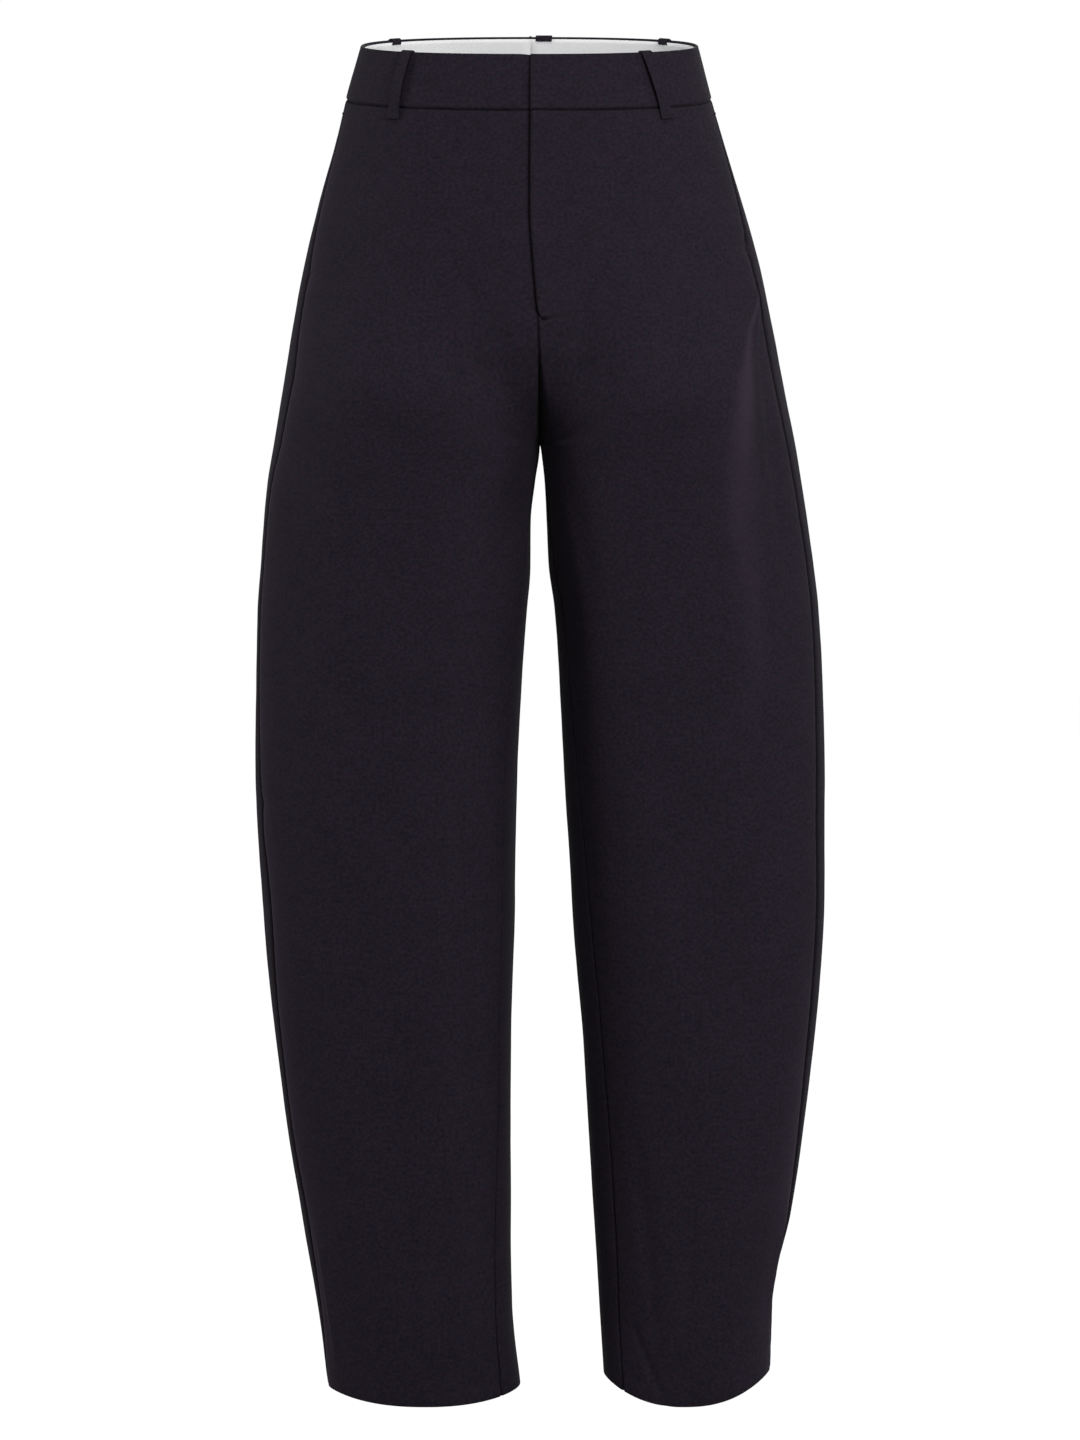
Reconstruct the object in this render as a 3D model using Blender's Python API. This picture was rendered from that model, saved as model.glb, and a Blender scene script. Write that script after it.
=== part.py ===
"""High waist trousers with curved barrel legs, filled out as when worn, in metres with +Z up.

The wearer's left is +X, the front faces -Y, and the origin is the middle of the waistband, where the wearer
holds the trousers up. Sizes below are millimetres and degrees, and every shape is worked out from them:
each panel is a wall that follows the oval sections of the hip and of one leg.
"""

import math
from typing import NamedTuple

import bmesh
import bpy
from mathutils import Vector

MM = 0.001

# Cloth and gaps
CLOTH = 1.4
HEM_CLOTH = 2.7
HEM_TURN_UP = 35.0
SEAM_GAP = 0.3
LEG_PARTING = 0.2

# Levels, as the drop below the middle of the waistband at the side
BAND_TOP = -21.0
BAND_FOOT = 21.0
FORK_START = 200.0
FORK = 292.0
THIGH_START = 150.0
THIGH_END = 340.0
THIGH_FULLNESS = 0.09
HEM = 1024.0

# The waist is tilted, lower in front, and the tilt dies out over the hip
WAIST_TILT = 0.19
TILT_END = 240.0

# Power of the oval sections: 1 would be an ellipse and less is squarer
OVAL = 0.87

# Waistband and its facing
BAND_CLOTH = 2.4
BAND_PROUD = 0.5
BAND_EDGE = 1.2
BAND_EDGE_ROUND = 0.6
BAND_MIDDLE = 7.0
FACING_CLOTH = 1.0
FACING_TOP_STEP = 1.5
FACING_FOOT_STEP = 6.0
FACING_SKIP = {"right": 0, "left": 2}
BAND_END_DISTANCES = (3.0, 6.0, 9.0, 14.0)
OVERLAP_LIFT = 0.7
UNDERLAP_DIP = 3.3
UNDERLAP_RAMP = 9.0
UNDERLAP_PLACES = (28.0, 14.0, 1.0)
UNDERLAP_START = 0.5

# Fly
FLY_END = 188.0
FLY_LIFT = 1.3
FLY_REACH = 16.0
FLY_FADE = 24.0
FLY_FADE_ABOVE = 0.7
FLY_SHIELD_RIGHT = 11.0
FLY_SHIELD_LEFT = 25.0
FLY_SHIELD_CLOTH = 1.2
FLY_SHIELD_DEPTH = 2.4
FLY_SHIELD_TAPER = 50.0
FLY_SHIELD_FOOT = 0.55

# Side seam ridge and pocket
RIDGE_START = 60.0
RIDGE_HEIGHT = 1.4
RIDGE_FRONT_REACH = 13.0
RIDGE_BACK_REACH = 8.0
POCKET_TOP = 30.0
POCKET_FOOT = 168.0
POCKET_FRONT_WIDTH = 26.0
POCKET_BACK_WIDTH = 16.0
POCKET_CLOTH = 1.0
POCKET_DEPTH = 0.9

# Belt loops, with the places of a strip's columns across it
LOOP_CLOTH = 1.1
LOOP_COLUMNS = (-1.0, -0.35, 0.35, 1.0)

# Shares of a panel's width that the crotch seam and the side seam shape
SEAM_ZONE = 0.4
LEVEL_ZONE = 0.7
SIDE_ZONE = 0.3

# Steps to a point's neighbours when its direction is measured
SHARE_STEP = 0.004
DROP_STEP = 2.0
ANGLE_STEP = 0.5

# Mesh density
FLY_SHIELD_ROWS = 7
POCKET_ROWS = 6
SHARP_ANGLE = 40.0
PANEL_COLUMNS = 13
BAND_COLUMNS = 26
HIP_ROW_STEP = 30.0
FORK_ROWS = 7
LEG_ROW_STEP = 46.0

# Half the width of a leg, to turn a share of a panel into a distance
LEG_HALF_WIDTH = 100.0

CLOTH_COLOUR = (0.017, 0.0135, 0.020, 1.0)
FACING_COLOUR = (0.70, 0.69, 0.72, 1.0)


class Profile(NamedTuple):
    """Side view at one level: how far the front and back stand from the plane of the side.

    The centre is where the middle of the hip lies across, and the fork is how far a leg's inner side is moved
    back, or forward where it is negative.
    """

    drop: float
    front: float
    back: float
    centre: float
    fork: float


class LegEdge(NamedTuple):
    """Front view of one leg at one level, with the turn of its two seams towards the front."""

    drop: float
    outer: float
    inner: float
    side_turn: float
    inseam_turn: float


class Hem(NamedTuple):
    """How low the hem hangs at four places round the leg."""

    outer: float
    inner: float
    front: float
    back: float


class Fold(NamedTuple):
    """A soft ridge, or trough where the height is negative, down a panel from its top to its end."""

    panel: str
    top_share: float
    top_drop: float
    end_share: float
    end_drop: float
    half_width: float
    height: float


class Loop(NamedTuple):
    """A belt loop, with its angles round the waist: 0 is the side, 90 the front and -90 the back."""

    name: str
    side: str
    top_turn: float
    foot_turn: float


class LoopPoint(NamedTuple):
    """A point of a belt loop's middle line: out from the band, down from its top edge, and its width."""

    out: float
    down: float
    width: float


PROFILES = [
    Profile(-36, 96, 96, 0.0, -25),
    Profile(-21, 98, 99, 0.0, -25),
    Profile(21, 104, 107, 0.0, -25),
    Profile(60, 107, 114, -0.3, -25),
    Profile(100, 110, 122, -0.4, -25),
    Profile(150, 113, 131, 2.2, -25),
    Profile(200, 115, 136, 5.6, -25),
    Profile(250, 115, 134, 6.6, -25),
    Profile(292, 109, 126, 7.4, -25),
    Profile(360, 103, 111, 7.4, -22),
    Profile(480, 96, 95, 7.4, -15),
    Profile(600, 89, 85, 7.4, -10),
    Profile(720, 80, 77, 7.4, -8),
    Profile(840, 71, 70, 7.4, -5),
    Profile(960, 62, 64, 7.4, -3),
    Profile(1024, 56, 62, 7.4, 0),
]

RIGHT_LEG = [
    LegEdge(-36, -127.6, 0.0, 4, 0),
    LegEdge(-21, -131.7, 0.0, 5, 0),
    LegEdge(21, -143.5, 0.0, 7, 0),
    LegEdge(60, -152.8, 0.0, 9, 0),
    LegEdge(100, -163.9, 0.0, 12, 0),
    LegEdge(150, -176.0, 0.0, 16, 0),
    LegEdge(200, -185.6, 0.0, 19, 0),
    LegEdge(250, -194.1, 0.0, 24, 0),
    LegEdge(292, -200.2, 7.4, 24, 0),
    LegEdge(320, -204.2, 3.6, 21, 6),
    LegEdge(350, -207.3, 0.4, 19, 12),
    LegEdge(385, -210.0, 0.0, 18, 19),
    LegEdge(420, -212.2, -2.6, 18, 23),
    LegEdge(540, -213.8, -9.7, 21, 26),
    LegEdge(660, -207.6, -12.3, 26, 27),
    LegEdge(780, -195.0, -15.0, 22, 28),
    LegEdge(900, -176.7, -15.2, 25, 33),
    LegEdge(960, -165.8, -14.0, 20, 35),
    LegEdge(1024, -157.0, -7.8, 8, 38),
]

LEFT_LEG = [
    LegEdge(-36, 126.2, 0.0, 4, 0),
    LegEdge(-21, 130.1, 0.0, 5, 0),
    LegEdge(21, 140.9, 0.0, 7, 0),
    LegEdge(60, 151.9, 0.0, 9, 0),
    LegEdge(100, 163.9, 0.0, 13, 0),
    LegEdge(150, 178.4, 0.0, 18, 0),
    LegEdge(200, 189.3, 0.0, 21, 0),
    LegEdge(250, 199.0, 0.0, 24, 0),
    LegEdge(292, 206.4, 7.4, 25, 0),
    LegEdge(320, 210.2, 10.8, 25, 6),
    LegEdge(350, 214.9, 12.4, 25, 12),
    LegEdge(385, 220.0, 14.0, 24, 18),
    LegEdge(420, 223.6, 18.4, 24, 21),
    LegEdge(540, 228.9, 25.6, 26, 27),
    LegEdge(660, 228.4, 32.8, 26, 32),
    LegEdge(780, 219.0, 41.8, 25, 36),
    LegEdge(900, 202.4, 48.9, 20, 40),
    LegEdge(945, 191.6, 51.9, 16, 41),
    LegEdge(975, 187.4, 53.6, 12, 41),
    LegEdge(1024, 186.6, 56.9, 6, 41),
]

HEMS = {
    "right": Hem(outer=1021.5, inner=1022.5, front=1031, back=1027),
    "left": Hem(outer=1008.5, inner=1013.5, front=1031, back=1024),
}

FOLDS = [
    Fold("front_left", 0.80, 165, 0.74, 430, 15, 3.2),
    Fold("front_left", 0.22, 225, 0.20, 400, 13, -2.6),
    Fold("front_left", 0.30, 520, 0.42, 860, 26, 2.6),
    Fold("front_left", 0.16, 800, 0.26, 1010, 12, -1.8),
    Fold("front_right", 0.30, 80, 0.12, 220, 12, -1.8),
    Fold("front_right", 0.62, 250, 0.58, 420, 16, -1.8),
    Fold("front_right", 0.34, 480, 0.40, 800, 30, 2.4),
    Fold("front_right", 0.90, 880, 0.82, 1000, 9, 2.2),
    Fold("back_left", 0.30, 250, 0.45, 420, 16, -3.0),
    Fold("back_left", 0.62, 520, 0.50, 760, 24, 3.0),
    Fold("back_right", 0.30, 250, 0.48, 430, 16, -3.0),
    Fold("back_right", 0.60, 560, 0.48, 800, 24, 3.0),
]

LOOP_LINE = [
    LoopPoint(-4.05, 3.2, 10.4),
    LoopPoint(-4.05, 0.9, 10.4),
    LoopPoint(-3.4, -0.7, 10.4),
    LoopPoint(-0.6, -1.0, 10.4),
    LoopPoint(1.3, -0.4, 10.4),
    LoopPoint(2.3, 2.0, 10.4),
    LoopPoint(3.4, 8.0, 10.4),
    LoopPoint(4.3, 17.0, 10.4),
    LoopPoint(4.6, 25.0, 10.4),
    LoopPoint(4.3, 33.0, 10.4),
    LoopPoint(3.2, 40.0, 10.4),
    LoopPoint(1.7, 44.8, 10.6),
    LoopPoint(1.1, 47.2, 12.6),
    LoopPoint(0.9, 51.2, 12.6),
]

LOOPS = [
    Loop("belt_loop_front_right", "right", top_turn=47.5, foot_turn=47.0),
    Loop("belt_loop_front_left", "left", top_turn=50.7, foot_turn=46.2),
    Loop("belt_loop_back_right", "right", top_turn=-37.0, foot_turn=-37.0),
    Loop("belt_loop_back_left", "left", top_turn=-37.0, foot_turn=-37.0),
    Loop("belt_loop_back_centre", "left", top_turn=-86.6, foot_turn=-87.5),
]


class Curve:
    """Reads any column of a table at any drop, along a smooth curve that never overshoots its rows."""

    def __init__(self, rows):
        self.drops = [row.drop for row in rows]
        self.columns = {name: [getattr(row, name) for row in rows] for name in rows[0]._fields}
        self.slopes = {name: self._slopes(values) for name, values in self.columns.items()}

    def _slopes(self, values):
        rises = [
            (high - low) / (below - above)
            for low, high, above, below in zip(values, values[1:], self.drops, self.drops[1:])
        ]
        inner = [
            2 * a * b / (a + b) if a * b > 0 else 0.0
            for a, b in zip(rises, rises[1:])
        ]
        return [rises[0], *inner, rises[-1]]

    def read(self, name, drop):
        """The column's value at this drop."""
        last = len(self.drops) - 2
        i = next((k for k in range(last + 1) if drop < self.drops[k + 1]), last)
        span = self.drops[i + 1] - self.drops[i]
        u = (drop - self.drops[i]) / span
        values, slopes = self.columns[name], self.slopes[name]
        if not 0 <= u <= 1:
            end = i if u < 0 else i + 1
            return values[end] + slopes[end] * (drop - self.drops[end])
        h = u * u * (3 - 2 * u)
        return (
            values[i] * (1 - h)
            + values[i + 1] * h
            + span * slopes[i] * u * (1 - u) ** 2
            - span * slopes[i + 1] * u * u * (1 - u)
        )


BODY = Curve(PROFILES)
LEGS = {"right": Curve(RIGHT_LEG), "left": Curve(LEFT_LEG)}
SIGN = {"right": -1, "left": 1}
FACE_SIGN = {"front": 1, "back": -1}


def ease(u):
    """0 to 1 with a soft start and end."""
    u = min(1.0, max(0.0, u))
    return u * u * (3 - 2 * u)


def oval(angle, half_width, front, back):
    """A point of an oval: 0 is its outer side, 90 the front, 180 the inner side and -90 the back."""
    turn = math.radians(angle)
    across, ahead = math.cos(turn), math.sin(turn)
    depth = front if ahead > 0 else back
    return (
        half_width * math.copysign(abs(across) ** OVAL, across),
        -depth * math.copysign(abs(ahead) ** OVAL, ahead),
        across,
    )


def tilted(y, drop):
    """Height of a point that lies y behind the plane of the side, at this drop."""
    return -drop + WAIST_TILT * y * (1 - ease((drop - BAND_FOOT) / (TILT_END - BAND_FOOT)))


def hip_point(side, angle, drop):
    """A point of the hip's section, on the wearer's left or right half."""
    centre = BODY.read("centre", drop)
    half_width = abs(LEGS[side].read("outer", drop) - centre)
    x, y, _ = oval(angle, half_width, BODY.read("front", drop), BODY.read("back", drop))
    return Vector((centre + SIGN[side] * x, y, tilted(y, drop)))


def hem_drop(side, angle):
    """How low the hem hangs at this angle round the leg."""
    hem = HEMS[side]
    turn = math.radians(angle)
    middle = (hem.outer + hem.inner) / 2
    lean = (hem.outer - hem.inner) / 2 * math.cos(turn)
    end = hem.front if math.sin(turn) > 0 else hem.back
    return middle + lean + (end - middle) * math.sin(turn) ** 2


def panel_angles(side, face, share, drop):
    """Angles round the hip and round the leg at a share of a panel's width, from its inner edge."""
    sign = FACE_SIGN[face]
    side_turn = LEGS[side].read("side_turn", drop)
    inseam_turn = LEGS[side].read("inseam_turn", drop)
    hip_start = sign * 90
    leg_start = sign * 180 - inseam_turn
    return (
        hip_start + share * (side_turn - hip_start),
        leg_start + share * (side_turn - leg_start),
    )


def fork_turn(drop):
    """The way round the quarter turn of the crotch seam, from the front or back (0) to underneath (90)."""
    return math.pi / 2 * min(1.0, max(0.0, (drop - FORK_START) / (FORK - FORK_START)))


def thigh_progress(drop):
    """How far the front and back of the thigh have parted, from 0 on the hip to 1 on the leg."""
    return min(1.0, max(0.0, (drop - THIGH_START) / (THIGH_END - THIGH_START)))


def leg_share(share, drop):
    """How far a place has gone from a section of the hip (0) to one of a leg (1)."""
    at_seam = 1 - math.cos(fork_turn(drop))
    at_side = ease(thigh_progress(drop))
    return at_seam + (at_side - at_seam) * ease(share / SEAM_ZONE)


def level_of(share, drop):
    """The drop at a share of a row's width: its inner end follows the curve of the crotch seam."""
    if not FORK_START < drop < FORK:
        return drop
    inner_drop = FORK_START + (FORK - FORK_START) * math.sin(fork_turn(drop))
    return inner_drop + (drop - inner_drop) * ease(share / LEVEL_ZONE)


def thigh_gain(share, drop):
    """How much a place is deepened where hip turns to leg, as a mix of two ovals is shallower than both."""
    rise = math.sin(math.pi * thigh_progress(drop)) ** 2
    return 1 + THIGH_FULLNESS * rise * ease(share / SEAM_ZONE) * ease((1 - share) / SIDE_ZONE)


def panel_point(side, face, share, drop):
    """A point of a panel's outer face, before folds: share 0 is its inner edge and 1 its side seam."""
    hip_angle, leg_angle = panel_angles(side, face, share, drop)
    level = level_of(share, drop)
    gain = thigh_gain(share, drop)
    front, back = BODY.read("front", level) * gain, BODY.read("back", level) * gain
    centre = BODY.read("centre", level)
    outer = LEGS[side].read("outer", level)
    inner = LEGS[side].read("inner", level) if level > FORK else centre
    leg_x, leg_y, across = oval(leg_angle, abs(outer - inner) / 2, front, back)
    leg_x = (outer + inner) / 2 + SIGN[side] * leg_x
    leg_y += BODY.read("fork", level) * ((1 - across) / 2) ** 2
    hip_x, hip_y, _ = oval(hip_angle, abs(outer - centre), front, back)
    hip_x = centre + SIGN[side] * hip_x
    w = leg_share(share, drop)
    x = hip_x + (leg_x - hip_x) * w + SIGN[side] * LEG_PARTING * w
    y = hip_y + (leg_y - hip_y) * w
    if level > FORK:
        level = FORK + (level - FORK) * (hem_drop(side, leg_angle) - FORK) / (HEM - FORK)
    return Vector((x, y, tilted(y, level)))


def normal_of(surface, u, v, du, dv):
    """The outward direction of a surface at (u, v), from its neighbours."""
    along_u = surface(u + du, v) - surface(u - du, v)
    along_v = surface(u, v + dv) - surface(u, v - dv)
    return along_u.cross(along_v).normalized()


def panel_relief(side, face, share, drop):
    """How far the cloth stands out of the plain section: the pressed side seam, the fly and the folds."""
    hip_angle, leg_angle = panel_angles(side, face, share, drop)
    w = leg_share(1.0, drop)
    side_turn = LEGS[side].read("side_turn", drop)
    turn = abs((hip_angle - side_turn) * (1 - w) + (leg_angle - side_turn) * w)
    away = math.radians(turn) * BODY.read("front" if face == "front" else "back", drop)
    reach = RIDGE_FRONT_REACH if face == "front" else RIDGE_BACK_REACH
    relief = RIDGE_HEIGHT * ease((drop - BAND_FOOT) / RIDGE_START) * math.exp(-away / reach)
    if face == "front":
        from_centre = math.radians(90 - hip_angle) * BODY.read("front", drop)
        fade = ease((drop - FLY_END) / FLY_FADE + FLY_FADE_ABOVE)
        fly = math.exp(-from_centre / FLY_REACH) * (1 - fade)
        relief += fly * (FLY_LIFT if side == "left" else -FLY_LIFT / 2)
    width = math.pi / 2 * (BODY.read("front", drop) + LEG_HALF_WIDTH)
    for fold in FOLDS:
        if fold.panel != f"{face}_{side}":
            continue
        k = (drop - fold.top_drop) / (fold.end_drop - fold.top_drop)
        if 0 < k < 1:
            middle = fold.top_share + (fold.end_share - fold.top_share) * k
            across = (share - middle) * width / fold.half_width
            relief += fold.height * math.sin(math.pi * k) * math.exp(-across * across)
    return relief


def panel_thickness(drop):
    """The cloth is doubled where the hem is turned up."""
    return HEM_CLOTH if drop > HEM - HEM_TURN_UP else CLOTH


def cloth_material(name, colour, roughness):
    """A plain matte cloth."""
    material = bpy.data.materials.new(name)
    material.use_nodes = True
    shader = material.node_tree.nodes["Principled BSDF"]
    shader.inputs["Base Color"].default_value = colour
    shader.inputs["Roughness"].default_value = roughness
    shader.inputs["Metallic"].default_value = 0.0
    return material


def wall(name, outer, inner, material, collection):
    """A closed wall between two grids of points in millimetres that have the same rows and columns."""
    mesh = bmesh.new()
    grids = [
        [[mesh.verts.new(point * MM) for point in row] for row in grid]
        for grid in (outer, inner)
    ]
    rows, columns = len(outer), len(outer[0])
    for grid in grids:
        for r in range(rows - 1):
            for c in range(columns - 1):
                mesh.faces.new((grid[r][c], grid[r][c + 1], grid[r + 1][c + 1], grid[r + 1][c]))
    front, behind = grids
    for r in range(rows - 1):
        for c in (0, columns - 1):
            mesh.faces.new((front[r][c], front[r + 1][c], behind[r + 1][c], behind[r][c]))
    for c in range(columns - 1):
        for r in (0, rows - 1):
            mesh.faces.new((front[r][c], front[r][c + 1], behind[r][c + 1], behind[r][c]))
    bmesh.ops.recalc_face_normals(mesh, faces=mesh.faces)
    data = bpy.data.meshes.new(name)
    mesh.to_mesh(data)
    mesh.free()
    data.materials.append(material)
    data.shade_smooth()
    data.set_sharp_from_angle(angle=math.radians(SHARP_ANGLE))
    part = bpy.data.objects.new(name, data)
    collection.objects.link(part)
    return part


def panel_rows():
    """The drops of a panel's rows, closer together round the fork and at the turned-up hem."""
    hip_steps = round((FORK_START - BAND_FOOT) / HIP_ROW_STEP)
    rows = [BAND_FOOT + (FORK_START - BAND_FOOT) * k / hip_steps for k in range(hip_steps)]
    rows += [FORK_START + (FORK - FORK_START) * k / FORK_ROWS for k in range(FORK_ROWS)]
    leg_end = HEM - HEM_TURN_UP - 2
    leg_steps = round((leg_end - FORK) / LEG_ROW_STEP)
    rows += [FORK + (leg_end - FORK) * k / leg_steps for k in range(leg_steps + 1)]
    return rows + [HEM - HEM_TURN_UP + 0.5, HEM - HEM_TURN_UP / 2, HEM]


def panel_shares():
    """The places of a panel's columns, closer together at its seams."""
    return [(1 - math.cos(math.pi * c / PANEL_COLUMNS)) / 2 for c in range(PANEL_COLUMNS + 1)]


def panel(side, face, material, collection):
    """One of the four leg panels, from the waistband to the hem."""

    def surface(share, drop):
        return panel_point(side, face, share, drop)

    outer, inner = [], []
    shares = panel_shares()
    outward = -FACE_SIGN[face] * SIGN[side]
    for drop in panel_rows():
        outer_row, inner_row = [], []
        for share in shares:
            point = surface(share, drop)
            normal = normal_of(surface, share, drop, SHARE_STEP, DROP_STEP) * outward
            into = (surface(share + SHARE_STEP, drop) - surface(share - SHARE_STEP, drop)).normalized()
            shift = Vector()
            if share == shares[0]:
                shift = into * SEAM_GAP / 2
            elif share == shares[-1]:
                shift = -into * SEAM_GAP / 2
            if drop == BAND_FOOT:
                shift += Vector((0, 0, -SEAM_GAP / 2))
            relief = panel_relief(side, face, share, drop)
            outer_row.append(point + shift + normal * relief)
            inner_row.append(point + shift + normal * (relief - panel_thickness(drop)))
        outer.append(outer_row)
        inner.append(inner_row)
    return wall(f"{face}_{side}", outer, inner, material, collection)


def hip_offset(side, angle, drop, out):
    """A point that stands out of the hip's section, or inside it where out is negative."""

    def surface(a, d):
        return hip_point(side, a, d)

    normal = normal_of(surface, angle, drop, ANGLE_STEP, DROP_STEP) * SIGN[side]
    return surface(angle, drop) + normal * out


def angle_from_front(side, distance, drop):
    """The angle round the hip at this distance from the centre front."""
    half_width = abs(LEGS[side].read("outer", drop) - BODY.read("centre", drop))
    return math.degrees(math.acos((abs(distance) / half_width) ** (1 / OVAL)))


def band_angles(side, drop):
    """The angles of the waistband's even columns, from beside the centre front to the centre back."""
    first = angle_from_front(side, BAND_END_DISTANCES[-1], drop)
    return [first + (-90 - first) * k / BAND_COLUMNS for k in range(BAND_COLUMNS + 1)]


def band_half(side, material, collection):
    """Half of the waistband, from front to back. The right half runs on under the left."""
    outer, inner = [], []
    drops = [BAND_TOP, BAND_TOP + BAND_EDGE, -BAND_MIDDLE, BAND_MIDDLE, BAND_FOOT - BAND_EDGE]
    drops.append(BAND_FOOT - SEAM_GAP / 2)
    for drop in drops:
        outer_row, inner_row = [], []
        edge = BAND_EDGE_ROUND if drop in (drops[0], drops[-1]) else 0.0
        if side == "right":
            out = BAND_PROUD - UNDERLAP_DIP
            for distance in UNDERLAP_PLACES:
                angle = angle_from_front("left", distance, drop)
                outer_row.append(hip_offset("left", angle, drop, out - edge))
                inner_row.append(hip_offset("left", angle, drop, out - BAND_CLOTH + edge))
        distances = [UNDERLAP_START if side == "right" else 0.0, *BAND_END_DISTANCES]
        angles = [angle_from_front(side, distance, drop) for distance in distances[:-1]]
        angles += band_angles(side, drop)
        for k, angle in enumerate(angles):
            distance = distances[k] if k < len(distances) else UNDERLAP_RAMP
            near = 1 - ease(distance / UNDERLAP_RAMP)
            lift = -UNDERLAP_DIP * near if side == "right" else OVERLAP_LIFT * near
            shift = Vector()
            if k == len(angles) - 1:
                shift.x = SIGN[side] * SEAM_GAP / 2
            out = BAND_PROUD + lift
            outer_row.append(hip_offset(side, angle, drop, out - edge) + shift)
            inner_row.append(hip_offset(side, angle, drop, out - BAND_CLOTH + edge) + shift)
        outer.append(outer_row)
        inner.append(inner_row)
    return wall(f"waistband_{side}", outer, inner, material, collection)


def facing_half(side, material, collection):
    """Half of the pale facing inside the waistband."""
    outer, inner = [], []
    out = BAND_PROUD - BAND_CLOTH - SEAM_GAP
    for drop in (BAND_TOP + FACING_TOP_STEP, -BAND_MIDDLE, BAND_MIDDLE, BAND_FOOT + FACING_FOOT_STEP):
        angles = band_angles(side, drop)[FACING_SKIP[side] :]
        outer_row = [hip_offset(side, angle, drop, out) for angle in angles]
        inner_row = [hip_offset(side, angle, drop, out - FACING_CLOTH) for angle in angles]
        shift = Vector((SIGN[side] * SEAM_GAP / 2, 0, 0))
        outer_row[-1] += shift
        inner_row[-1] += shift
        outer.append(outer_row)
        inner.append(inner_row)
    return wall(f"waist_facing_{side}", outer, inner, material, collection)


def fly_shield(material, collection):
    """The strip behind the fly opening, inside both fronts."""
    outer, inner = [], []
    start = BAND_FOOT + SEAM_GAP
    for k in range(FLY_SHIELD_ROWS + 1):
        drop = start + (FLY_END - start) * k / FLY_SHIELD_ROWS
        taper = ease((drop - FLY_END) / FLY_SHIELD_TAPER + 1)
        left_width = FLY_SHIELD_LEFT * (1 + (FLY_SHIELD_FOOT - 1) * taper)
        places = [("right", FLY_SHIELD_RIGHT), ("right", FLY_SHIELD_RIGHT / 2), ("left", UNDERLAP_START)]
        places += [("left", left_width / 2), ("left", left_width)]
        angles = [(side, angle_from_front(side, distance, drop)) for side, distance in places]
        outer.append([hip_offset(s, a, drop, -FLY_SHIELD_DEPTH) for s, a in angles])
        depth = FLY_SHIELD_DEPTH + FLY_SHIELD_CLOTH
        inner.append([hip_offset(s, a, drop, -depth) for s, a in angles])
    return wall("fly_shield", outer, inner, material, collection)


def pocket_facing(side, material, collection):
    """The strip of cloth behind the pocket opening in the side seam."""
    outer, inner = [], []
    out = -CLOTH - POCKET_DEPTH
    for k in range(POCKET_ROWS + 1):
        drop = POCKET_TOP + (POCKET_FOOT - POCKET_TOP) * k / POCKET_ROWS
        side_turn = LEGS[side].read("side_turn", drop)
        front_turn = math.degrees(POCKET_FRONT_WIDTH / BODY.read("front", drop))
        back_turn = math.degrees(POCKET_BACK_WIDTH / BODY.read("back", drop))
        turns = (front_turn, front_turn / 2, 0, -back_turn / 2, -back_turn)
        angles = [side_turn + turn for turn in turns]
        outer.append([hip_offset(side, angle, drop, out) for angle in angles])
        inner.append([hip_offset(side, angle, drop, out - POCKET_CLOTH) for angle in angles])
    return wall(f"pocket_facing_{side}", outer, inner, material, collection)


def loop_edges():
    """The two faces of a belt loop's strip, half its thickness either side of its middle line."""
    faces = ([], [])
    for k, point in enumerate(LOOP_LINE):
        before = LOOP_LINE[max(k - 1, 0)]
        after = LOOP_LINE[min(k + 1, len(LOOP_LINE) - 1)]
        run = math.hypot(after.out - before.out, after.down - before.down)
        out_step = (after.down - before.down) / run * LOOP_CLOTH / 2
        down_step = -(after.out - before.out) / run * LOOP_CLOTH / 2
        faces[0].append(LoopPoint(point.out + out_step, point.down + down_step, point.width))
        faces[1].append(LoopPoint(point.out - out_step, point.down - down_step, point.width))
    return faces


def belt_loop(loop, material, collection):
    """A narrow strip sewn over the waistband's top edge and below its foot, standing off between them."""
    grids = []
    for face in loop_edges():
        grid = []
        for point in face:
            drop = BAND_TOP + point.down
            angle = loop.top_turn + (loop.foot_turn - loop.top_turn) * point.down / LOOP_LINE[-1].down
            half_width = abs(LEGS[loop.side].read("outer", drop) - BODY.read("centre", drop))
            half_depth = BODY.read("front" if angle > 0 else "back", drop)
            turn = math.radians(angle)
            speed = math.hypot(half_width * math.sin(turn), half_depth * math.cos(turn))
            half_turn = math.degrees(point.width / 2 / speed)
            grid.append(
                [hip_offset(loop.side, angle + half_turn * c, drop, point.out) for c in LOOP_COLUMNS]
            )
        grids.append(grid)
    return wall(loop.name, grids[0], grids[1], material, collection)


def main():
    for old in list(bpy.data.objects):
        bpy.data.objects.remove(old)
    collection = bpy.data.collections.new("high_waist_trousers")
    bpy.context.scene.collection.children.link(collection)
    cloth = cloth_material("suiting_cloth", CLOTH_COLOUR, 0.85)
    pale = cloth_material("waist_facing_cloth", FACING_COLOUR, 0.7)
    for side in ("left", "right"):
        for face in ("front", "back"):
            panel(side, face, cloth, collection)
        band_half(side, cloth, collection)
        facing_half(side, pale, collection)
        pocket_facing(side, cloth, collection)
    fly_shield(cloth, collection)
    for loop in LOOPS:
        belt_loop(loop, cloth, collection)


main()
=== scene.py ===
"""The look of the high waist trousers: fine blue-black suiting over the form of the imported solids.

Sizes are millimetres and degrees unless a name says otherwise, and meshes are written in metres. The wearer's
left is +X, the front faces -Y, and a drop is the distance below the middle of the waistband at the side.
"""

import logging
import math
from dataclasses import dataclass, field
from enum import Enum
from typing import NamedTuple, Sequence

import bmesh
import bpy
import numpy as np
from mathutils import Euler, Matrix, Vector, noise


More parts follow.
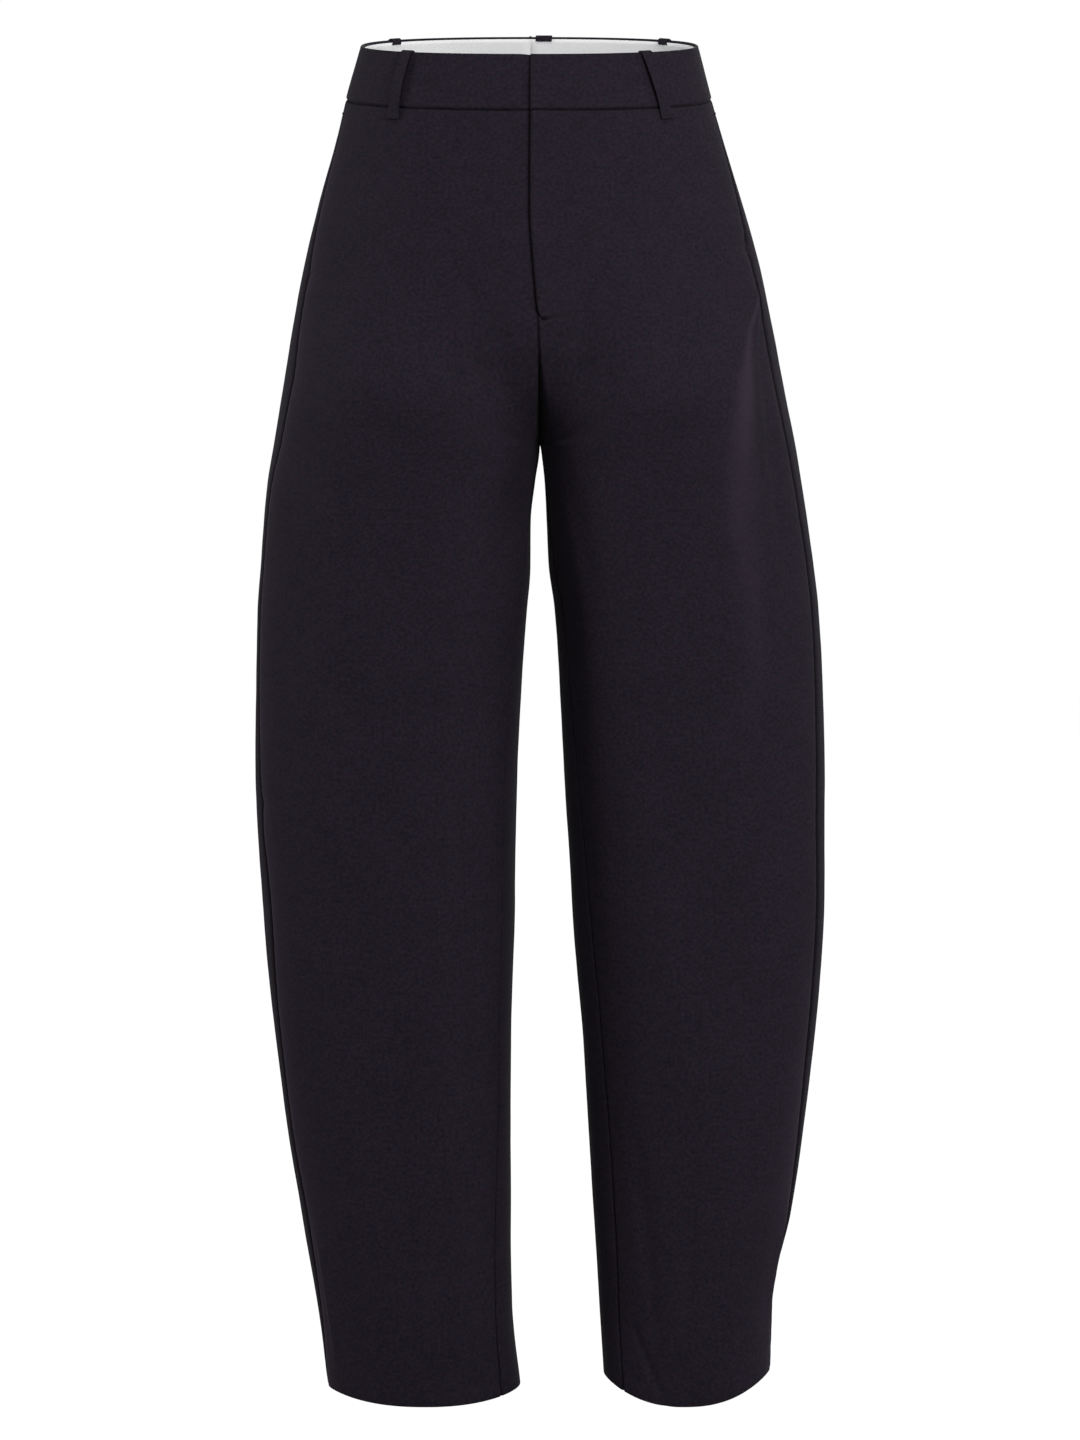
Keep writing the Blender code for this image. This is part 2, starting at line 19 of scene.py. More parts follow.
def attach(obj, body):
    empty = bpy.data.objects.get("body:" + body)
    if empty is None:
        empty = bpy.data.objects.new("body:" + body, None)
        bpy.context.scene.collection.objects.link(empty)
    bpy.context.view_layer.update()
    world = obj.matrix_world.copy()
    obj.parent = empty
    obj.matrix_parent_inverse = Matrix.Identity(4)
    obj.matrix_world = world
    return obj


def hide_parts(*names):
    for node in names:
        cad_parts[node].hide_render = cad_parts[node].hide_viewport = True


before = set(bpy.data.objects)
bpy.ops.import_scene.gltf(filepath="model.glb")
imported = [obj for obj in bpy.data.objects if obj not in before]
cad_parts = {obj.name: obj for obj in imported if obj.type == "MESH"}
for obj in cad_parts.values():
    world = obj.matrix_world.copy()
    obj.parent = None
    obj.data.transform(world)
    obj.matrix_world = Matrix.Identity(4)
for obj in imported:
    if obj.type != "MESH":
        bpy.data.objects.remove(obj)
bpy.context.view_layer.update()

log = logging.getLogger("trousers")

MM = 0.001
TAU = 2 * math.pi

# Levels, as drops
BAND_TOP = -21.0
BAND_FOOT = 21.0
FORK_START = 200.0
FORK = 292.0
FLY_END = 188.0
HEM = 1024.0

# Thickness of the suiting, and the air between its layers
CLOTH = 0.8
LAYER_GAP = 0.1

# Edges that turn further than this are sharp
SHARP_ANGLE = 60.0


class Side(Enum):
    """The wearer's left or right, as the sign of X."""

    LEFT = 1
    RIGHT = -1

    @property
    def word(self) -> str:
        """The side as the CAD nodes spell it."""
        return self.name.lower()


class Face(Enum):
    """Front or back, as the sign of its angles round the hip."""

    FRONT = 1
    BACK = -1

    @property
    def word(self) -> str:
        """The face as the CAD nodes spell it."""
        return self.name.lower()


class Held(Enum):
    """How a sheet of cloth is held."""

    HUNG = "hung"
    FOLDED = "folded"
    STRETCHED = "stretched"


class Ramp(NamedTuple):
    """A soft rise from 0 to 1 that begins at a place and takes a length."""

    start: float
    length: float

    def at(self, place: np.ndarray) -> np.ndarray:
        """How far it has risen at each place."""
        return ease((place - self.start) / self.length)


class Swell(NamedTuple):
    """A soft swell, 1 at its middle, with half its width to both sides."""

    middle: float
    half_width: float

    def at(self, place: np.ndarray) -> np.ndarray:
        """How high it is at each place."""
        return bell((place - self.middle) / self.half_width)


class Relief(NamedTuple):
    """A line raised on the cloth, or sunk where the height is negative."""

    height: float
    half_width: float


class Ripple(NamedTuple):
    """Unevenness of the cloth: its height, the width of its waves and the number that sets its pattern."""

    height: float
    scale: float
    seed: float

    def at(self, points: np.ndarray) -> np.ndarray:
        """How high it is at each point."""
        return self.height * unevenness(points, self.scale, self.seed)


class Sway(NamedTuple):
    """How the pitch of a row of puckers wanders down a seam."""

    turns: float
    length: float

    def wave(self, drop: np.ndarray, pitch: float) -> np.ndarray:
        """The puckers, from -1 to 1, at each way down."""
        return np.sin(TAU * drop / pitch + self.turns * np.sin(drop / self.length))


class Lamp(NamedTuple):
    """A soft square light: where it hangs, the point it faces, the length of its side and its power."""

    name: str
    place: tuple[float, float, float]
    aim: tuple[float, float, float]
    size: float
    power: float


class BodyRow(NamedTuple):
    """Side view at one level: how far the front and back stand from the plane of the side."""

    drop: float
    front: float
    back: float
    centre: float
    fork: float


class LegRow(NamedTuple):
    """Front view of one leg at one level, with the turn of its two seams towards the front."""

    drop: float
    outer: float
    inner: float
    side_turn: float
    inseam_turn: float


class HemLine(NamedTuple):
    """How low the hem hangs at four places round the leg."""

    outer: float
    inner: float
    front: float
    back: float


class Fold(NamedTuple):
    """A soft ridge, or trough where the height is negative, down a panel from its top to its end."""

    panel: str
    top_share: float
    top_drop: float
    end_share: float
    end_drop: float
    half_width: float
    height: float


class SeamDent(NamedTuple):
    """A place where a side seam is pushed out, or in where the height is negative."""

    side: Side
    drop: float
    length: float
    height: float


class HighlightPoint(NamedTuple):
    """A point of a painted highlight streak: its place on the panel and its strength."""

    drop: float
    share: float
    strength: float


class EdgePoint(NamedTuple):
    """A place on a turned edge: how far in from the edge, and how far below the surface."""

    inset: float
    depth: float


class LoopPoint(NamedTuple):
    """A point of a belt loop's middle line: out from the band, down from its top edge, and its width."""

    out: float
    down: float
    width: float


BODY_ROWS = (
    BodyRow(-36, 96, 96, 0.0, -25),
    BodyRow(-21, 98, 99, 0.0, -25),
    BodyRow(21, 104, 107, 0.0, -25),
    BodyRow(60, 107, 114, -0.3, -25),
    BodyRow(100, 110, 122, -0.4, -25),
    BodyRow(150, 113, 131, 2.2, -25),
    BodyRow(200, 115, 136, 5.6, -25),
    BodyRow(250, 115, 134, 6.6, -25),
    BodyRow(292, 109, 126, 7.4, -25),
    BodyRow(360, 103, 111, 7.4, -22),
    BodyRow(480, 96, 95, 7.4, -15),
    BodyRow(600, 89, 85, 7.4, -10),
    BodyRow(720, 80, 77, 7.4, -8),
    BodyRow(840, 71, 70, 7.4, -5),
    BodyRow(960, 62, 64, 7.4, -3),
    BodyRow(1024, 56, 62, 7.4, 0),
)

RIGHT_LEG_ROWS = (
    LegRow(-36, -127.6, 0.0, 4, 0),
    LegRow(-21, -131.7, 0.0, 5, 0),
    LegRow(21, -143.5, 0.0, 7, 0),
    LegRow(60, -152.8, 0.0, 9, 0),
    LegRow(100, -163.9, 0.0, 12, 0),
    LegRow(150, -176.0, 0.0, 16, 0),
    LegRow(200, -185.6, 0.0, 19, 0),
    LegRow(250, -194.1, 0.0, 24, 0),
    LegRow(292, -200.2, 7.4, 24, 0),
    LegRow(320, -204.2, 3.6, 21, 6),
    LegRow(350, -207.3, 0.4, 19, 12),
    LegRow(385, -210.0, 0.0, 18, 19),
    LegRow(420, -212.2, -2.6, 18, 23),
    LegRow(540, -213.8, -9.7, 21, 26),
    LegRow(660, -207.6, -12.3, 26, 27),
    LegRow(780, -195.0, -15.0, 22, 28),
    LegRow(900, -176.7, -15.2, 25, 33),
    LegRow(960, -165.8, -14.0, 20, 35),
    LegRow(1024, -157.0, -7.8, 8, 38),
)

LEFT_LEG_ROWS = (
    LegRow(-36, 126.2, 0.0, 4, 0),
    LegRow(-21, 130.1, 0.0, 5, 0),
    LegRow(21, 140.9, 0.0, 7, 0),
    LegRow(60, 151.9, 0.0, 9, 0),
    LegRow(100, 163.9, 0.0, 13, 0),
    LegRow(150, 178.4, 0.0, 18, 0),
    LegRow(200, 189.3, 0.0, 21, 0),
    LegRow(250, 199.0, 0.0, 24, 0),
    LegRow(292, 206.4, 7.4, 25, 0),
    LegRow(320, 210.2, 10.8, 25, 6),
    LegRow(350, 214.9, 12.4, 25, 12),
    LegRow(385, 220.0, 14.0, 24, 18),
    LegRow(420, 223.6, 18.4, 24, 21),
    LegRow(540, 228.9, 25.6, 26, 27),
    LegRow(660, 228.4, 32.8, 26, 32),
    LegRow(780, 219.0, 41.8, 25, 36),
    LegRow(900, 202.4, 48.9, 20, 40),
    LegRow(945, 191.6, 51.9, 16, 41),
    LegRow(975, 187.4, 53.6, 12, 41),
    LegRow(1024, 186.6, 56.9, 6, 41),
)

HEM_LINES = {
    Side.RIGHT: HemLine(outer=1021.5, inner=1022.5, front=1031, back=1027),
    Side.LEFT: HemLine(outer=1008.5, inner=1013.5, front=1031, back=1024),
}

# The largest folds, which the solids have too
MAIN_FOLDS = (
    Fold("front_left", 0.80, 175, 0.73, 430, 13, 3.2),
    Fold("front_left", 0.22, 300, 0.20, 430, 13, -1.8),
    Fold("front_left", 0.30, 520, 0.42, 860, 26, 2.6),
    Fold("front_left", 0.16, 800, 0.26, 1010, 11, -2.6),
    Fold("front_right", 0.30, 80, 0.12, 220, 12, -1.8),
    Fold("front_right", 0.62, 250, 0.58, 420, 16, -1.8),
    Fold("front_right", 0.34, 480, 0.40, 800, 30, 2.4),
    Fold("front_right", 0.92, 880, 0.84, 1010, 7, 3.0),
    Fold("back_left", 0.30, 250, 0.45, 420, 16, -3.0),
    Fold("back_left", 0.62, 520, 0.50, 760, 24, 3.0),
    Fold("back_right", 0.30, 250, 0.48, 430, 16, -3.0),
    Fold("back_right", 0.60, 560, 0.48, 800, 24, 3.0),
)

# Finer creases that only the cloth has
FINE_FOLDS = (
    Fold("front_left", 1.00, 168, 0.77, 262, 4.5, 1.8),
    Fold("front_left", 0.83, 210, 0.69, 440, 9, 2.3),
    Fold("front_left", 0.93, 205, 0.84, 430, 10, -2.4),
    Fold("front_left", 0.93, 870, 0.90, 1010, 7, 2.6),
    Fold("front_left", 0.10, 960, 0.28, 1030, 6, -2.8),
    Fold("front_left", 0.13, 168, 0.12, 236, 9, -0.9),
    Fold("front_left", 0.55, 620, 0.63, 760, 13, -0.7),
    Fold("front_right", 0.19, 58, 0.18, 130, 9, -0.7),
    Fold("front_right", 0.70, 560, 0.62, 700, 14, -0.6),
    Fold("front_right", 0.94, 540, 0.88, 620, 7, 1.2),
    Fold("front_right", 0.60, 915, 0.70, 1015, 10, -1.0),
    Fold("front_right", 0.24, 90, 0.28, 620, 20, 2.0),
    Fold("front_right", 0.28, 480, 0.24, 980, 20, 1.8),
    Fold("front_right", 0.09, 130, 0.11, 330, 11, -1.3),
    Fold("back_left", 0.06, 240, 0.34, 330, 9, -1.6),
    Fold("back_left", 0.20, 470, 0.42, 560, 12, -1.2),
    Fold("back_left", 0.75, 600, 0.66, 700, 12, -1.0),
    Fold("back_left", 0.30, 880, 0.40, 1016, 12, 1.2),
    Fold("back_right", 0.06, 236, 0.36, 322, 9, -1.6),
    Fold("back_right", 0.24, 500, 0.44, 600, 12, -1.2),
    Fold("back_right", 0.72, 640, 0.64, 730, 12, -1.0),
    Fold("back_right", 0.38, 860, 0.30, 1010, 13, 1.2),
)

# The painted highlight streak down the fold over the left hip
HIP_HIGHLIGHT = (
    HighlightPoint(168, 0.985, 0.0),
    HighlightPoint(183, 0.955, 0.9),
    HighlightPoint(204, 0.864, 0.95),
    HighlightPoint(225, 0.825, 1.0),
    HighlightPoint(245, 0.795, 1.0),
    HighlightPoint(298, 0.75, 0.85),
    HighlightPoint(350, 0.707, 0.65),
    HighlightPoint(381, 0.701, 0.5),
    HighlightPoint(440, 0.69, 0.25),
    HighlightPoint(520, 0.68, 0.0),
)

# Dents and bulges of the side seams, where the pockets end and where the cloth puckers
SEAM_DENTS = (
    SeamDent(Side.LEFT, 137, 7, -2.8),
    SeamDent(Side.LEFT, 176, 16, 2.0),
    SeamDent(Side.LEFT, 640, 30, 0.6),
    SeamDent(Side.RIGHT, 158, 7, -1.1),
    SeamDent(Side.RIGHT, 569, 7, -1.3),
    SeamDent(Side.RIGHT, 596, 14, 0.9),
)

# A seam's edge turns down into the seam, from its cut edge to the flat cloth
SEAM_EDGE = (
    EdgePoint(0.0, 1.95),
    EdgePoint(0.3, 1.55),
    EdgePoint(0.75, 0.88),
    EdgePoint(1.2, 0.34),
    EdgePoint(1.8, 0.1),
    EdgePoint(2.6, 0.0),
)

LOOP_LINE = (
    LoopPoint(-3.6, 3.4, 10.4),
    LoopPoint(-3.7, 0.9, 10.4),
    LoopPoint(-3.2, -0.7, 10.4),
    LoopPoint(-0.6, -1.1, 10.4),
    LoopPoint(1.5, -0.5, 10.4),
    LoopPoint(2.5, 2.0, 10.3),
    LoopPoint(3.5, 8.0, 10.1),
    LoopPoint(4.3, 17.0, 10.0),
    LoopPoint(4.6, 25.0, 10.0),
    LoopPoint(4.3, 33.0, 10.2),
    LoopPoint(3.2, 40.0, 10.4),
    LoopPoint(2.2, 44.4, 10.8),
    LoopPoint(1.8, 46.4, 12.0),
    LoopPoint(1.8, 51.2, 12.4),
)


def ease(u: np.ndarray) -> np.ndarray:
    """0 to 1 with a soft start and end."""
    u = np.clip(u, 0.0, 1.0)
    return u * u * (3 - 2 * u)


def bell(u: np.ndarray) -> np.ndarray:
    """1 at 0, dying away softly to both sides."""
    return np.exp(-np.square(u))


def unit(vectors: np.ndarray) -> np.ndarray:
    """The same directions, one long."""
    return vectors / np.linalg.norm(vectors, axis=-1, keepdims=True)


class Curve:
    """Reads any column of a table at any drop, along a smooth curve that never overshoots its rows."""

    def __init__(self, rows: Sequence[NamedTuple]) -> None:
        """Works out the slope of every column at every row.

        Args:
            rows: The table's rows, from the highest to the lowest.
        """
        self.drops = np.array([row.drop for row in rows], float)
        names = rows[0]._fields
        self.columns = {name: np.array([getattr(row, name) for row in rows], float) for name in names}
        self.slopes = {name: self._slopes(values) for name, values in self.columns.items()}

    def _slopes(self, values: np.ndarray) -> np.ndarray:
        """The slope at each row, flat where the column turns.

        Args:
            values: The column's values, row by row.

        Returns:
            One slope for each row.
        """
        rises = np.diff(values) / np.diff(self.drops)
        above, below = rises[:-1], rises[1:]
        product = above * below
        total = np.where(product > 0, above + below, 1.0)
        inner = np.where(product > 0, 2 * product / total, 0.0)
        return np.concatenate(([rises[0]], inner, [rises[-1]]))

    def read(self, name: str, drop: np.ndarray) -> np.ndarray:
        """The column's values at these drops.

        Args:
            name: The column.
            drop: Where it is read.

        Returns:
            One value for each drop, on a straight line past the table's ends.
        """
        drop = np.asarray(drop, float)
        i = np.clip(np.searchsorted(self.drops, drop, side="right") - 1, 0, len(self.drops) - 2)
        span = self.drops[i + 1] - self.drops[i]
        u = (drop - self.drops[i]) / span
        t = np.clip(u, 0.0, 1.0)
        values, slopes = self.columns[name], self.slopes[name]
        rise = t * t * (3 - 2 * t)
        smooth = values[i] * (1 - rise) + values[i + 1] * rise
        smooth += span * t * (1 - t) * (slopes[i] * (1 - t) - slopes[i + 1] * t)
        return smooth + np.where(u < 0, slopes[i], slopes[i + 1]) * (u - t) * span


@dataclass(frozen=True)
class Form:
    """The outer surface that every piece of cloth follows: sections of the hip and of each leg."""

    waist_tilt: float = 0.19
    tilt_end: float = 240.0
    oval_power: float = 0.87
    thigh_start: float = 150.0
    thigh_end: float = 340.0
    thigh_fullness: float = 0.09
    seam_zone: float = 0.4
    level_zone: float = 0.7
    side_zone: float = 0.3
    leg_parting: float = 0.2
    parting_zone: float = 0.06
    share_step: float = 0.004
    drop_step: float = 2.0
    angle_step: float = 0.5
    body: Curve = field(default_factory=lambda: Curve(BODY_ROWS))
    legs: dict[Side, Curve] = field(
        default_factory=lambda: {Side.RIGHT: Curve(RIGHT_LEG_ROWS), Side.LEFT: Curve(LEFT_LEG_ROWS)}
    )

    def oval(
        self, angle: np.ndarray, half_width: np.ndarray, front: np.ndarray, back: np.ndarray
    ) -> tuple[np.ndarray, np.ndarray, np.ndarray]:
        """A point of an oval section.

        Args:
            angle: 0 is the outer side, 90 the front, 180 the inner side and -90 the back.
            half_width: Half of the oval's width.
            front: How far its front stands out.
            back: How far its back stands out.

        Returns:
            The way across, the way back and the cosine of the angle.
        """
        turn = np.radians(angle)
        across, ahead = np.cos(turn), np.sin(turn)
        depth = np.where(ahead > 0, front, back)
        x = half_width * np.copysign(np.abs(across) ** self.oval_power, across)
        y = -depth * np.copysign(np.abs(ahead) ** self.oval_power, ahead)
        return x, y, across

    def height(self, y: np.ndarray, drop: np.ndarray) -> np.ndarray:
        """The height of a point y behind the plane of the side, as the tilt of the waist dies out."""
        return -drop + self.waist_tilt * y * (1 - ease((drop - BAND_FOOT) / (self.tilt_end - BAND_FOOT)))

    def half_width(self, side: Side, drop: np.ndarray) -> np.ndarray:
        """Half the width of the hip's section on one side."""
        return np.abs(self.legs[side].read("outer", drop) - self.body.read("centre", drop))

    def hip_point(self, side: Side, angle: np.ndarray, drop: np.ndarray) -> np.ndarray:
        """A point of the hip's section, on the wearer's left or right half.

        Args:
            side: The wearer's left or right.
            angle: The angle round the section.
            drop: The way down.

        Returns:
            The point in millimetres.
        """
        front, back = self.body.read("front", drop), self.body.read("back", drop)
        x, y, _ = self.oval(angle, self.half_width(side, drop), front, back)
        x = self.body.read("centre", drop) + side.value * x
        return np.stack(np.broadcast_arrays(x, y, self.height(y, drop)), axis=-1)

    def hip_normal(self, side: Side, angle: np.ndarray, drop: np.ndarray) -> np.ndarray:
        """The outward direction of the hip's section.

        Args:
            side: The wearer's left or right.
            angle: The angle round the section.
            drop: The way down.

        Returns:
            A vector that is one long.
        """
        step, fall = self.angle_step, self.drop_step
        along = self.hip_point(side, angle + step, drop) - self.hip_point(side, angle - step, drop)
        down = self.hip_point(side, angle, drop + fall) - self.hip_point(side, angle, drop - fall)
        return unit(np.cross(along, down)) * side.value

    def angle_from_front(self, side: Side, distance: np.ndarray, drop: np.ndarray) -> np.ndarray:
        """The angle round the hip at this distance from the centre front."""
        share = np.abs(distance) / self.half_width(side, drop)
        return np.degrees(np.arccos(share ** (1 / self.oval_power)))

    def hem_drop(self, side: Side, angle: np.ndarray) -> np.ndarray:
        """How low the hem hangs at this angle round the leg.

        Args:
            side: The wearer's left or right.
            angle: The angle round the section.

        Returns:
            The hem's drop.
        """
        hem, turn = HEM_LINES[side], np.radians(angle)
        middle = (hem.outer + hem.inner) / 2
        lean = (hem.outer - hem.inner) / 2 * np.cos(turn)
        end = np.where(np.sin(turn) > 0, hem.front, hem.back)
        return middle + lean + (end - middle) * np.sin(turn) ** 2

    def panel_angles(
        self, side: Side, face: Face, share: np.ndarray, drop: np.ndarray
    ) -> tuple[np.ndarray, np.ndarray]:
        """Angles round the hip and round the leg at a share of a panel's width, from its inner edge.

        Args:
            side: The wearer's left or right.
            face: The front or back panel.
            share: The share of the panel's width, from its inner edge.
            drop: The way down.

        Returns:
            The angle round the hip and the angle round the leg.
        """
        side_turn = self.legs[side].read("side_turn", drop)
        hip_start = face.value * 90
        leg_start = face.value * 180 - self.legs[side].read("inseam_turn", drop)
        return hip_start + share * (side_turn - hip_start), leg_start + share * (side_turn - leg_start)

    def fork_turn(self, drop: np.ndarray) -> np.ndarray:
        """The way round the quarter turn of the crotch seam, from the front or back to underneath."""
        return math.pi / 2 * np.clip((drop - FORK_START) / (FORK - FORK_START), 0, 1)

    def thigh_progress(self, drop: np.ndarray) -> np.ndarray:
        """How far the front and back of the thigh have parted, from 0 on the hip to 1 on the leg."""
        return np.clip((drop - self.thigh_start) / (self.thigh_end - self.thigh_start), 0, 1)

    def leg_share(self, share: np.ndarray, drop: np.ndarray) -> np.ndarray:
        """How far a place has gone from a section of the hip to one of a leg.

        Args:
            share: The share of the panel's width, from its inner edge.
            drop: The way down.

        Returns:
            A number from 0 on the hip to 1 on the leg.
        """
        at_seam = 1 - np.cos(self.fork_turn(drop))
        at_side = ease(self.thigh_progress(drop))
        return at_seam + (at_side - at_seam) * ease(share / self.seam_zone)

    def level_of(self, share: np.ndarray, drop: np.ndarray) -> np.ndarray:
        """The drop at a share of a row's width, whose inner end follows the curve of the crotch seam.

        Args:
            share: The share of the panel's width, from its inner edge.
            drop: The row's drop.

        Returns:
            The drop at that place.
        """
        inner_drop = FORK_START + (FORK - FORK_START) * np.sin(self.fork_turn(drop))
        bent = inner_drop + (drop - inner_drop) * ease(share / self.level_zone)
        return np.where((drop > FORK_START) & (drop < FORK), bent, drop)

    def thigh_gain(self, share: np.ndarray, drop: np.ndarray) -> np.ndarray:
        """How much a place is deepened where the hip turns into a leg."""
        rise = self.thigh_fullness * np.sin(math.pi * self.thigh_progress(drop)) ** 2
        return 1 + rise * ease(share / self.seam_zone) * ease((1 - share) / self.side_zone)

    def panel_point(self, side: Side, face: Face, share: np.ndarray, drop: np.ndarray) -> np.ndarray:
        """A point of a leg panel's outer face, before folds.

        Args:
            side: The wearer's left or right leg.
            face: The front or back panel.
            share: 0 is the panel's inner edge and 1 its side seam.
            drop: The row's drop.

        Returns:
            The point in millimetres.
        """
        hip_angle, leg_angle = self.panel_angles(side, face, share, drop)
        level = self.level_of(share, drop)
        gain = self.thigh_gain(share, drop)
        front, back = self.body.read("front", level) * gain, self.body.read("back", level) * gain
        centre = self.body.read("centre", level)
        outer = self.legs[side].read("outer", level)
        inner = np.where(level > FORK, self.legs[side].read("inner", level), centre)
        leg_x, leg_y, across = self.oval(leg_angle, np.abs(outer - inner) / 2, front, back)
        leg_x = (outer + inner) / 2 + side.value * leg_x
        leg_y = leg_y + self.body.read("fork", level) * ((1 - across) / 2) ** 2
        hip_x, hip_y, _ = self.oval(hip_angle, np.abs(outer - centre), front, back)
        hip_x = centre + side.value * hip_x
        w = self.leg_share(share, drop)
        apart = np.where(drop > FORK, 1.0, ease(share / self.parting_zone))
        x = hip_x + (leg_x - hip_x) * w + side.value * self.leg_parting * w * apart
        y = hip_y + (leg_y - hip_y) * w
        hem = self.hem_drop(side, leg_angle)
        low = FORK + (level - FORK) * (hem - FORK) / (HEM - FORK)
        z = self.height(y, np.where(level > FORK, low, level))
        return np.stack(np.broadcast_arrays(x, y, z), axis=-1)

    def panel_normal(self, side: Side, face: Face, share: np.ndarray, drop: np.ndarray) -> np.ndarray:
        """The outward direction of a panel before folds.

        Args:
            side: The wearer's left or right.
            face: The front or back panel.
            share: The share of the panel's width, from its inner edge.
            drop: The way down.

        Returns:
            A vector that is one long.
        """
        step, fall = self.share_step, self.drop_step
        right, left = (self.panel_point(side, face, share + way, drop) for way in (step, -step))
        below, above = (self.panel_point(side, face, share, drop + way) for way in (fall, -fall))
        return unit(np.cross(right - left, below - above)) * (-face.value * side.value)

    def crotch_normal(self, side: Side, face: Face, drop: np.ndarray) -> np.ndarray:
        """The outward direction of the centre seam, which stays in the plane between the legs.

        Args:
            side: The wearer's left or right.
            face: The front or back panel.
            drop: The way down.

        Returns:
            A vector that is one long.
        """
        edge = np.zeros_like(drop)
        tangent = self.panel_point(side, face, edge, drop)
        tangent = tangent - self.panel_point(side, face, edge, drop - self.drop_step)
        return unit(np.cross(tangent, np.array([face.value, 0.0, 0.0])) * np.array([0.0, 1.0, 1.0]))


FORM = Form()


class Wire:
    """An output socket, on which Python's operators add Math nodes."""

    def __init__(self, paint: "Recipe", socket: bpy.types.NodeSocket) -> None:
        """Wraps a socket of a recipe's nodes."""
        self.paint = paint
        self.socket = socket

    def __add__(self, other: "Wire | float") -> "Wire":
        """This plus other."""
        return self.paint.math("ADD", self, other)

    def __sub__(self, other: "Wire | float") -> "Wire":
        """This minus other."""
        return self.paint.math("SUBTRACT", self, other)

    def __rsub__(self, other: float) -> "Wire":
        """The number minus this."""
        return self.paint.math("SUBTRACT", other, self)

    def __mul__(self, other: "Wire | float") -> "Wire":
        """This times other."""
        return self.paint.math("MULTIPLY", self, other)

    def __truediv__(self, other: "Wire | float") -> "Wire":
        """This divided by other."""
        return self.paint.math("DIVIDE", self, other)

    def __rtruediv__(self, other: float) -> "Wire":
        """The number divided by this."""
        return self.paint.math("DIVIDE", other, self)

    __radd__ = __add__
    __rmul__ = __mul__

    def sine(self) -> "Wire":
        """The sine of this."""
        return self.paint.math("SINE", self)


class Recipe:
    """A tree of shader nodes under construction."""

    def __init__(self, tree: bpy.types.NodeTree) -> None:
        """Takes the tree that gets the nodes."""
        self.tree = tree

    def connect(self, socket: bpy.types.NodeSocket, value: object) -> None:
        """Links a wire to a socket, or sets the socket's own value.

        Args:
            socket: The input socket.
            value: A wire, or the value to set.
        """
        if isinstance(value, Wire):
            self.tree.links.new(value.socket, socket)
        else:
            socket.default_value = value

    def add(
        self,
        kind: str,
        settings: dict[str, object] | None = None,
        inputs: dict[str | int, object] | None = None,
        output: str | int = 0,
    ) -> Wire:
        """Adds any node.

        Args:
            kind: The node's type.
            settings: Its settings, which are made first.
            inputs: Values or wires for its sockets, by name or number.
            output: The output that is returned.

        Returns:
            A wire from that output.
        """
        node = self.tree.nodes.new(kind)
        for name, value in (settings or {}).items():
            setattr(node, name, value)
        for name, value in (inputs or {}).items():
            self.connect(node.inputs[name], value)
        return Wire(self, node.outputs[output])

    def math(self, operation: str, *values: object) -> Wire:
        """A Math node of this operation on one or two values."""
        return self.add("ShaderNodeMath", {"operation": operation}, dict(enumerate(values)))

    def mix(self, factor: Wire, low: Wire | Sequence[float], high: Wire | Sequence[float]) -> Wire:
        """A colour between low and high.

        Args:
            factor: 0 gives the low colour and 1 the high one.
            low: A colour or a wire of one.
            high: A colour or a wire of one.

        Returns:
            A wire of the colour.
        """
        ends = [end if isinstance(end, Wire) else (*end, 1.0) for end in (low, high)]
        sockets = {0: factor, 6: ends[0], 7: ends[1]}
        return self.add("ShaderNodeMix", {"data_type": "RGBA", "clamp_factor": True}, sockets, 2)

    def vector(self, operation: str, first: Wire, second: Wire | Sequence[float]) -> Wire:
        """A Vector Math node of this operation, which takes colours too."""
        return self.add("ShaderNodeVectorMath", {"operation": operation}, {0: first, 1: second}, "Vector")

    def noise(self, place: Wire, scale: float, detail: float) -> Wire:
        """Soft noise at this scale, from 0 to 1."""
        sockets = {"Vector": place, "Scale": scale, "Detail": detail}
        return self.add("ShaderNodeTexNoise", {}, sockets, "Fac")


class Paint(Recipe):
    """A material under construction."""

    def __init__(self, name: str) -> None:
        """Starts a material with its Principled shader.

        Args:
            name: The finish's name.
        """
        self.material = bpy.data.materials.new(name)
        self.material.use_nodes = True
        super().__init__(self.material.node_tree)
        self.shader = self.tree.nodes["Principled BSDF"]

    def surface(self, values: dict[str, object]) -> None:
        """Fills the shader's sockets with values or wires."""
        for name, value in values.items():
            self.connect(self.shader.inputs[name], value)


def soft_path(points: Sequence[HighlightPoint], drop: np.ndarray) -> tuple[np.ndarray, np.ndarray]:
    """Where a painted highlight streak runs across a panel and how strong it is, at each way down.

    Args:
        points: The streak's points, from the highest to the lowest.
        drop: The way down.

    Returns:
        The share of the panel's width and the strength.
    """
    drops = [point.drop for point in points]
    share = np.interp(drop, drops, [point.share for point in points])
    return share, np.interp(drop, drops, [point.strength for point in points])


